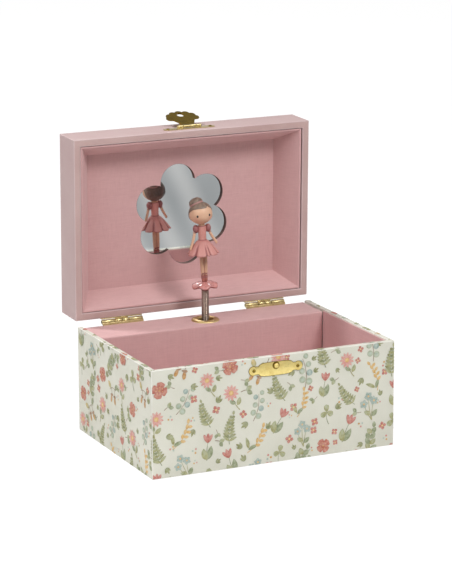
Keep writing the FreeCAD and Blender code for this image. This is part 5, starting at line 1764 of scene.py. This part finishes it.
@dataclass
class SpringPost:
    """Brass grommet in the compartment's cover and the closely wound steel spring that stands in it."""

    place: Pair = (0.0, 47.5)
    cover: float = 72.8
    flange: Pair = (9.9, 1.4)
    flange_power: float = 1.2
    bore: float = 5.5
    tube_wall: float = 0.6
    tail: float = 69.1
    low: float = 62.3
    high: float = 94.7
    wire: float = 0.56
    thickening: float = 0.9
    outside: float = 5.3
    bend_start: float = 75.0
    bend_end: float = 93.5

    def build(self) -> list[Piece]:
        """Make the grommet and the spring.

        Returns:
            The new pieces.
        """
        grommet = self.grommet()
        fit(grommet, "base", "fitting_brass", "grommet")
        spring = self.spring()
        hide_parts("post_spring")
        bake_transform(spring)
        return [grommet, spring]

    def grommet(self) -> Piece:
        """Rolled eyelet with a flange that is highest near its open tube.

        Returns:
            The new piece.
        """
        outer, rise = self.flange
        wall = self.bore + self.tube_wall
        outline = [(wall, self.tail), (wall, self.cover), (outer, self.cover)]
        for angle in range(15, 180, 15):
            turn = radians(angle)
            reach = self.bore + (outer - self.bore) * (0.5 + cos(turn) / 2) ** self.flange_power
            outline.append((reach, self.cover + rise * sin(turn)))
        outline += [(self.bore, self.cover - 0.3), (self.bore, self.tail)]
        rings = lathe(outline, moved((*self.place, 0)), 72)
        return loft("grommet_eyelet", rings, POLISHED_BRASS, looped=True, crisp=60)

    def spring(self) -> Piece:
        """Closely wound coil of a wire so thick that only shallow grooves show between its turns.

        Returns:
            The new piece.
        """
        keys = ("Coil Radius", "Wire Radius", "Height", "Turns")
        recipe = NodeRecipe("wound_spring", dict.fromkeys(keys, "NodeSocketFloat"))
        radius, wire_radius, height, turns = (recipe.inputs[key] for key in keys)
        coil = recipe.add("GeometryNodeCurveSpiral", {
            "Resolution": 28, "Start Radius": radius, "End Radius": radius, "Height": height,
            "Rotations": turns,
        })
        section = recipe.add("GeometryNodeCurvePrimitiveCircle", {"Resolution": 10, "Radius": wire_radius})
        wire = recipe.add("GeometryNodeCurveToMesh", {
            "Curve": coil.outputs["Curve"], "Profile Curve": section.outputs["Curve"], "Fill Caps": True,
        })
        smoothed = recipe.add("GeometryNodeSetShadeSmooth", {"Geometry": wire.outputs["Mesh"]})
        recipe.close(smoothed.outputs["Geometry"], STEEL)
        tall, thick = self.high - self.low - self.wire, self.wire * self.thickening
        piece = new_object("spring_closely_wound", bpy.data.meshes.new("spring_closely_wound"))
        values = ((self.outside / 2 - thick) * MM, thick * MM, tall * MM, tall / self.wire)
        recipe.make(piece, dict(zip(keys, values)))
        return move(piece, moved((*self.place, self.low + self.wire / 2)))


@dataclass
class Ballerina:
    """Moulded ballerina on a drooping flower, both turning with the spring post."""

    foot: Triple = (0.0, 47.5, 95.0)
    lean: float = 3.0
    facing: float = -8.0
    lobes: int = 6
    lobe_turn: float = -107.0
    lobe_reach: Pair = (7.5, 1.15)
    lobe_drop: Pair = (0.9, 1.1)
    lobe_edge: float = 1.15
    pedestal_height: float = 5.6
    head_height: float = 54.75
    head_radii: Triple = (8.1, 8.1, 7.85)
    head_tilt: float = 2.0
    neck: float = 47.0
    bun: Triple = (-1.9, 3.2, 7.0)
    bun_radii: Triple = (4.9, 4.9, 3.5)
    eye_turn: float = 32.0
    eye_drop: float = 0.3
    cheek: Pair = (42.0, -2.6)
    blush: Pair = (0.5, 1.7)
    parting: float = 40.0
    hairline: Triple = (80.0, -51.0, 24.0)
    strands: int = 9
    bun_strands: int = 5
    hem: Pair = (11.3, 26.0)
    waist: Pair = (3.0, 35.9)
    skirt_sheet: float = 0.6
    fold_depth: float = 0.13
    folds: tuple[Pair, ...] = (
        (-49, 8), (-1, 4.5), (14, 4.5), (58, 6), (97, 6), (140, 7), (180, 6), (-140, 7), (-97, 6),
    )
    sleeve: Pair = (4.4, 44.0)
    pieces: list[Piece] = field(default_factory=list)

    def place(self) -> Matrix:
        """Carry the figure's own frame to its place on the post."""
        return moved(self.foot) @ turned(-self.lean, "Y") @ turned(self.facing, "Z")

    def tilt(self) -> Matrix:
        """Lean of the head to one side, about the neck."""
        neck = moved((0, 0, self.neck))
        return neck @ turned(-self.head_tilt, "Y") @ neck.inverted()

    def add(
        self, name: str, rings: Sequence[Ring], finish: Finish, shades: Shades = None,
        looped: bool = False, tilted: bool = False,
    ) -> None:
        """Loft a piece in the figure's frame.

        Args:
            name: Name of the piece.
            rings: Its rings.
            finish: Its finish.
            shades: Depth of its colour.
            looped: Whether it is a hoop.
            tilted: Whether it leans with the head.
        """
        carry = self.place() @ self.tilt() if tilted else self.place()
        placed = [[carry @ point for point in ring] for ring in rings]
        self.pieces.append(loft(name, placed, finish, shades, looped, 70))

    def build(self) -> list[Piece]:
        """Make the flower and the doll, and set them on the figure's body.

        Returns:
            The new pieces.
        """
        self.pedestal()
        flower = len(self.pieces)
        for shape in (self.legs, self.skirt, self.bodice, self.arms, self.head, self.hair):
            shape()
        for index, piece in enumerate(self.pieces):
            if index < flower:
                fit(piece, "figure", "pedestal_plastic", "flower_pedestal")
            else:
                fit(piece, "figure", "doll_plastic", "doll")
        return self.pieces

    def pedestal(self) -> None:
        """Flower with six thick round lobes that droop a little, round a domed middle; painted shade
        darkens the grooves between the lobes and the underside.
        """
        count, rows, bends = 144, 12, 6
        levels = [(0.04 + 0.96 * row / rows, 0.0, 0.0) for row in range(rows + 1)]
        for bend in range(1, bends + 1):
            way = pi * bend / bends
            levels.append((1.0, self.lobe_edge * sin(way), self.lobe_edge * (cos(way) - 1)))
        levels += [(share, 0.0, -2 * self.lobe_edge) for share in (0.8, 0.6, 0.42)]
        rings, shades = [], []
        for share, out, down in levels:
            ring, tones = [], []
            for turn in turns_of(count):
                wave = 0.5 + 0.5 * cos(self.lobes * (turn - radians(self.lobe_turn)))
                reach = (self.lobe_reach[0] + self.lobe_reach[1] * wave ** 0.7) * share + out
                drop = (self.lobe_drop[0] + self.lobe_drop[1] * wave) * share ** 1.9
                way = Vector((cos(turn), sin(turn), 0))
                ring.append(way * reach + Vector((0, 0, self.pedestal_height - drop + down)))
                # Painted shade in the grooves between the lobes and on the underside.
                groove = (1 - wave) ** 3 * smooth((share - 0.35) / 0.5)
                tones.append(min(1.0, 0.45 * groove + (0.5 if down < -self.lobe_edge else 0.0)))
            rings.append(ring)
            shades.append(tones)
        self.add("flower_pedestal_petals", rings, PEDESTAL_PINK, shades)
        outline = [(1.0, 0.0), (3.0, 0.0), (3.3, 0.4), (3.0, 1.4), (3.6, 3.6), (1.0, 3.8)]
        self.add("flower_pedestal_hub", lathe(outline, Matrix(), 40), PEDESTAL_PINK)

    def legs(self) -> None:
        """Two straight legs side by side, on the tips of ribboned shoes."""
        leg = ((9.0, 1.0, 1.12), (12, 1.12, 1.28), (17, 1.25, 1.42), (22, 1.3, 1.42), (29, 1.4, 1.5))
        shoe = ((5.4, 0.85, 0.6), (5.7, 0.9, 0.95), (7.4, 1.0, 1.2), (9.4, 1.05, 1.28), (10.6, 1.08, 1.26))
        shoe_shades = [[share] * 24 for share in (0.9, 0.7, 0.1, 0.1, 0.8)]

        def limb(levels: Sequence[Triple], side: int) -> list[Ring]:
            """Rings from heights, distances off the middle and radii."""
            path = [Vector((side * off, 0, height)) for height, off, _ in levels]
            return tube(path, [radius for _, _, radius in levels], 24)

        def depth(point: Vector) -> float:
            """Painted shade between the legs and under the skirt."""
            return min(1.0, 0.5 * smooth(1 - abs(point.x) / 0.5) + 0.6 * smooth((point.z - 22) / 5))

        for name, side in SIDES:
            rings = limb(leg, side)
            self.add(f"doll_{name}_leg", rings, SKIN, [[depth(point) for point in ring] for ring in rings])
            self.add(f"doll_{name}_shoe", limb(shoe, side), SHOE_ROSE, shoe_shades)
            for number, (rise, lean) in enumerate(((9.0, 30), (9.0, -30), (11.6, 34), (11.6, -34))):
                turn = moved((side * 1.07, 0, rise)) @ turned(lean, "Y")
                ribbon = hoop(turn, (1.3, 1.3), 0.16, 0.32, 24)
                self.add(f"doll_{name}_ribbon_{number}", ribbon, DARK_ROSE, looped=True)

    def skirt(self) -> None:
        """Short flared skirt in broad panels, with crisp folds between them and an underside darkened by
        painted shade, a dark hem, and darker colour near the waist.
        """
        count, rows = 240, 14
        outer, inner, outer_shades = [], [], []
        for row in range(rows + 1):
            share = row / rows
            ring, lining, shades = [], [], []
            for index in range(count):
                front = 360 * index / count - 180
                off = [((front - angle + 180) % 360 - 180) / width for angle, width in self.folds]
                fold = max(exp(-distance ** 2) for distance in off) * smooth(share * 1.6)
                flare = self.waist[0] + (self.hem[0] - self.waist[0]) * share ** 0.88
                reach = flare * (1 - self.fold_depth * fold)
                fall = self.waist[1] + (self.hem[1] - self.waist[1]) * share ** 1.1 + 0.5 * fold * share
                turn = radians(front)
                way = Vector((sin(turn), -cos(turn), 0))
                ring.append(way * reach + Vector((0, 0, fall)))
                inside = max(reach - self.skirt_sheet, 1.2)
                lining.append(way * inside + Vector((0, 0, fall - 0.4 * (1 - share))))
                # Painted shade in the folds, a dark hem, and darker colour near the waist.
                hem = smooth((share - 0.92) / 0.08)
                shades.append(min(1.0, 0.95 * fold ** 2.2 + 0.7 * hem + 0.35 * (1 - share) ** 4))
            outer.append(ring)
            inner.append(lining)
            outer_shades.append(shades)
        # The skirt's underside is darkened with painted shade.
        shades = outer_shades + [[0.9] * count for _ in inner]
        self.add("doll_pleated_skirt", outer + inner[::-1], DRESS_PINK, shades)

    def bodice(self) -> None:
        """Fitted bodice with a waist band, a bare neckline and smooth puffed sleeves."""
        body = ((35.2, 2.9, 2.7), (37.0, 2.75, 2.6), (40.0, 2.8, 2.7), (43.5, 3.1, 2.9), (46.0, 2.9, 2.6))
        rings = [circle(Vector((0, 0, height)), radii, 40) for height, *radii in body]
        # Painted shade: the bodice's lowest ring, just above the waist band, is darker.
        self.add("doll_bodice", rings, BODICE_PINK, [[0.3] * 40] + [[0.05] * 40] * 4)
        neck = ((45.8, 2.75, 2.45), (46.5, 2.4, 2.2), (47.0, 1.8, 1.7), (49.0, 1.6, 1.6))
        self.add("doll_neck", [circle(Vector((0, 0, height)), radii, 32) for height, *radii in neck], SKIN)
        for name, rise, wide, thick in (("waist_band", 35.9, 2.85, 0.22), ("neckline", 46.0, 2.75, 0.16)):
            band = hoop(moved((0, 0, rise)), (wide, wide * 0.92), thick, thick * 2.2, 40)
            self.add(f"doll_{name}", band, DARK_ROSE, looped=True)
        for name, side in SIDES:
            middle = Vector((side * self.sleeve[0], 0, self.sleeve[1]))
            puff = ball(middle, Vector((2.15, 2.4, 2.95)), 16, 40)
            # Painted shade: the lower half of each sleeve is darker.
            shades = [[0.75 * smooth((row - 8) / 6)] * 40 for row in range(16)]
            self.add(f"doll_{name}_sleeve", puff, DARK_ROSE, shades)
            cuff = moved(middle + Vector((side * 0.7, 0, -2.5)))
            self.add(f"doll_{name}_cuff", hoop(cuff, (1.15, 1.15), 0.25, 0.35, 24), BAND_ROSE, looped=True)

    def arms(self) -> None:
        """Thin arms, one hanging lower than the other."""
        for name, joints in (
            ("left", ((-5.1, 42.5), (-5.9, 39.5), (-6.6, 36.8), (-7.7, 33.6), (-8.9, 30.8))),
            ("right", ((5.0, 42.5), (5.9, 40.2), (7.2, 37.6), (8.6, 35.2), (9.6, 33.6))),
        ):
            path = [Vector((x, -0.15 * index, height)) for index, (x, height) in enumerate(joints)]
            self.add(f"doll_{name}_arm", tube(path, (1.0, 0.98, 0.95, 0.9, 0.85), 16), SKIN)
            reach = path[-1] + (path[-1] - path[-2]).normalized() * 0.5
            self.add(f"doll_{name}_hand", ball(reach, Vector((0.85, 0.95, 1.15)), 10, 18), SKIN)

    def on_head(self, polar: float, turn: float, grow: float = 1.0) -> Vector:
        """Point on the head, which narrows to its chin.

        Args:
            polar: Angle from the top, in radians.
            turn: Angle to the doll's side from straight ahead, in radians.
            grow: Size against the head's own.

        Returns:
            The point.
        """
        rx, ry, rz = self.head_radii
        low = max(0.0, -cos(polar))
        level = grow * sin(polar) * (1 + 0.04 * sin(pi * low) - 0.2 * low ** 3)
        height = self.head_height + rz * grow * cos(polar)
        return Vector((rx * level * sin(turn), -ry * level * cos(turn), height))

    def on_face(self, turn: float, rise: float) -> Vector:
        """Point on the face, by degrees to the doll's side and height over the head's middle."""
        return self.on_head(acos(rise / self.head_radii[2]), radians(turn))

    def head(self) -> None:
        """Round head with a narrowed chin, two dot eyes and a faint blush."""
        rows, count = 30, 48
        polars = [pi * (0.02 + 0.96 * row / (rows - 1)) for row in range(rows)]
        rings = [[self.on_head(polar, turn) for turn in turns_of(count)] for polar in polars]
        cheeks = [self.on_face(side * self.cheek[0], self.cheek[1]) for side in (-1, 1)]
        strength, size = self.blush

        def redness(point: Vector) -> float:
            """Depth of the blush at a point of the head."""
            return sum(strength * exp(-((point - cheek).length / size) ** 2) for cheek in cheeks)

        shades = [[redness(point) for point in ring] for ring in rings]
        self.add("doll_head", rings, SKIN, shades, tilted=True)
        for name, side in SIDES:
            middle = self.on_face(side * self.eye_turn, -self.eye_drop)
            self.add(f"doll_{name}_eye", ball(middle, Vector((0.75, 0.65, 0.85)), 10, 18), EYE, tilted=True)

    def hair(self) -> None:
        """Hair swept from a side parting, and a low bun held by a band."""
        count, rows = 96, 14
        level, slope, bow = self.hairline
        rings, shades = [], []
        for row in range(rows + 2):
            share = min(row / rows, 1.0)
            thick = 1.05 if row <= rows else 0.98
            ring, tones = [], []
            for index in range(count):
                turn = 2 * pi * index / count - pi
                ahead = cos(turn)
                from_parting = degrees(turn) - self.parting
                edge = level + slope * ahead + bow * ahead ** 2 - 10 * exp(-(from_parting / 10) ** 2)
                edge = min(152, edge + 42 * smooth((-ahead - 0.05) / 0.4))
                polar = radians(edge) * (0.03 + 0.97 * share)
                strand = cos(self.strands * turn + 3.0 * polar)
                grow = thick + 0.006 * strand * sin(polar) - 0.02 * smooth((share - 0.88) / 0.12)
                ring.append(self.on_head(polar, turn, grow))
                # Painted shade: darker in the grooves between the strands, along the parting and over the
                # back of the head; the colour also deepens towards the hairline.
                seam = exp(-(from_parting / 5) ** 2) * smooth(share * 2)
                fringe = 0.35 * smooth((share - 0.85) / 0.15)
                tones.append(0.22 - 0.22 * strand + fringe + 0.4 * seam + smooth(-ahead))
            rings.append(ring)
            shades.append([min(1.0, max(0.0, tone)) for tone in tones])
        self.add("doll_hair", rings, HAIR, shades, tilted=True)
        outward = Vector(self.bun).normalized()
        crown = Vector((0, 0, self.head_height)) + outward * (self.head_radii[2] + 0.4)
        seat = moved(crown) @ outward.to_track_quat("Z", "Y").to_matrix().to_4x4()

        def swirl(polar: float, around: float) -> float:
            """Soft turns of the bun."""
            return 0.025 * cos(self.bun_strands * (around + polar)) * sin(polar)

        rows, count = 20, 60
        knot = [
            [seat @ point for point in ring]
            for ring in ball(Vector(), Vector(self.bun_radii), rows, count, swirl)
        ]
        # Painted shade: darker in the grooves between the bun's turns.
        tones = [
            [0.3 - 0.3 * cos(self.bun_strands * (turn + pi * row / (rows - 1))) for turn in turns_of(count)]
            for row in range(rows)
        ]
        self.add("doll_bun", knot, HAIR, tones, tilted=True)
        band = hoop(seat @ moved((0, 0, -1.3)), (4.75, 4.75), 0.35, 0.75, 48)
        self.add("doll_hair_band", band, BAND_ROSE, looped=True, tilted=True)


@dataclass
class Studio:
    """Pale floor, soft lamps and the camera."""

    eye: Triple = (-0.7179, -1.5159, 0.5133)
    azimuth: float = -25.15
    elevation: float = 13.73
    roll: float = -0.2
    lens: float = 201.16
    sensor: float = 36.0
    target: Triple = (0.0, 0.02, 0.1)
    fill: float = 0.23
    floor_half: float = 12.0
    floor_shade: float = 0.14
    floor_glow: float = 0.93
    floor_tones: tuple[Pair, ...] = ((0.33, 0.95), (0.37, 0.41), (0.56, 0.36), (0.8, 0.41))
    lamps: tuple[tuple[str, Triple, float, float], ...] = (
        ("left_softbox", (-1.6, -0.9, 1.7), 1.5, 20), ("right_softbox", (1.4, -1.0, 2.0), 1.2, 6),
        ("front_softbox", (0.47, -1.5, 1.65), 0.6, 23), ("top_softbox", (0.0, 0.1, 2.4), 1.2, 2),
        ("back_softbox", (-1.3, 1.0, 2.2), 0.4, 34),
    )

    def build(self) -> None:
        """Set the scene up."""
        bpy.context.scene.view_settings.view_transform = "Standard"
        self.camera()
        self.floor()
        self.world()
        for lamp in self.lamps:
            self.lamp(*lamp)

    def camera(self) -> None:
        """Camera at the photograph's angle."""
        data = bpy.data.cameras.new("camera")
        data.lens = self.lens
        data.sensor_width = self.sensor
        data.sensor_fit = "HORIZONTAL"
        data.clip_end = 50
        made = new_object("camera", data)
        turn = turned(self.azimuth, "Z") @ turned(90 - self.elevation, "X") @ turned(self.roll, "Z")
        made.matrix_world = moved(self.eye) @ turn
        bpy.context.scene.camera = made

    def lamp(self, name: str, place: Triple, size: float, power: float) -> None:
        """Square soft lamp that points at the box.

        Args:
            name: Name of the lamp.
            place: Where it hangs.
            size: Length of its side, in metres.
            power: Its power, in watts.
        """
        data = bpy.data.lights.new(name, "AREA")
        data.shape = "SQUARE"
        data.size = size
        data.energy = power
        made = new_object(name, data)
        aim = (Vector(self.target) - Vector(place)).to_track_quat("-Z", "Y")
        made.matrix_world = moved(place) @ aim.to_matrix().to_4x4()

    def floor(self) -> None:
        """White floor that keeps a soft shadow."""
        half = self.floor_half
        mesh = bpy.data.meshes.new("floor")
        around = ((-half, -half, 0), (half, -half, 0), (half, half, 0), (-half, half, 0))
        mesh.from_pydata(around, [], [(0, 1, 2, 3)])
        material = bpy.data.materials.new("white_floor")
        material.use_nodes = True
        sketch = NodeSketch(material.node_tree)
        where = sketch.add("ShaderNodeTexCoord").outputs["Object"]
        far = sketch.add("ShaderNodeVectorMath", {0: where}, operation="LENGTH")
        dim = sketch.add("ShaderNodeValToRGB", {"Fac": far.outputs["Value"]})
        stops = dim.color_ramp.elements
        for place, level in self.floor_tones:
            stops.new(place).color = (level, level, level, 1)
        stops.remove(stops[0])
        stops.remove(stops[-1])
        plain = sketch.add("ShaderNodeBsdfDiffuse", {"Color": dim.outputs["Color"]})
        faint = sketch.add("ShaderNodeBsdfDiffuse", {"Color": (*(self.floor_shade,) * 3, 1)})
        glow = sketch.add("ShaderNodeEmission", {"Strength": self.floor_glow})
        bright = sketch.add("ShaderNodeAddShader", {0: faint.outputs[0], 1: glow.outputs[0]})
        straight = sketch.add("ShaderNodeLightPath").outputs["Is Camera Ray"]
        mix = sketch.add("ShaderNodeMixShader", {0: straight, 1: plain.outputs[0], 2: bright.outputs[0]})
        sketch.add("ShaderNodeOutputMaterial", {"Surface": mix.outputs[0]})
        mesh.materials.append(material)
        new_object("floor", mesh)

    def world(self) -> None:
        """White surroundings for the camera, metal and glass, and softer light on the object."""
        world = bpy.data.worlds.new("studio")
        world.use_nodes = True
        sketch = NodeSketch(world.node_tree)
        where = sketch.add("ShaderNodeTexCoord").outputs["Generated"]
        height = sketch.add("ShaderNodeSeparateXYZ", {0: where}).outputs["Z"]
        strength = sketch.spread(height, 1.0, 0.12, 0.35, 0.85)
        white = sketch.add("ShaderNodeBackground", {"Strength": strength})
        warm = (1.0, 0.99, 0.975, 1.0)
        soft = sketch.add("ShaderNodeBackground", {"Color": warm, "Strength": self.fill})
        path = sketch.add("ShaderNodeLightPath").outputs
        seen = path["Is Camera Ray"]
        for key in ("Is Glossy Ray", "Is Transmission Ray"):
            seen = sketch.math("MAXIMUM", seen, path[key])
        mix = sketch.add("ShaderNodeMixShader", {0: seen, 1: soft.outputs[0], 2: white.outputs[0]})
        sketch.add("ShaderNodeOutputWorld", {"Surface": mix.outputs[0]})
        bpy.context.scene.world = world


def dress_nodes() -> None:
    """Give every CAD node that stays in view its finish."""
    for finish, names in NODE_FINISHES.items():
        for name in names:
            for slot in frame["nodes"][name].material_slots:
                slot.material = finish.material()
            log.info("%s: %s", name, finish.name)


def corners(box: Any) -> list[list[float]]:
    """Corners of a box as plain lists."""
    return [list(map(float, corner)) for corner in box]


def main() -> None:
    """Build every part of the box in order."""
    logging.basicConfig(level=logging.INFO, format="%(message)s")
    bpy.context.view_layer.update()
    dress_nodes()
    lid = CoveredLid()
    made = PrintedBase().build() + lid.build() + Hinges().build(lid) + Latch().build() + Nails().build(lid)
    made += SpringPost().build() + Ballerina().build()
    for piece in made:
        log.info("%s: %d faces", piece.name, len(piece.data.polygons))
    Studio().build()


if __name__ == "__main__":
    main()
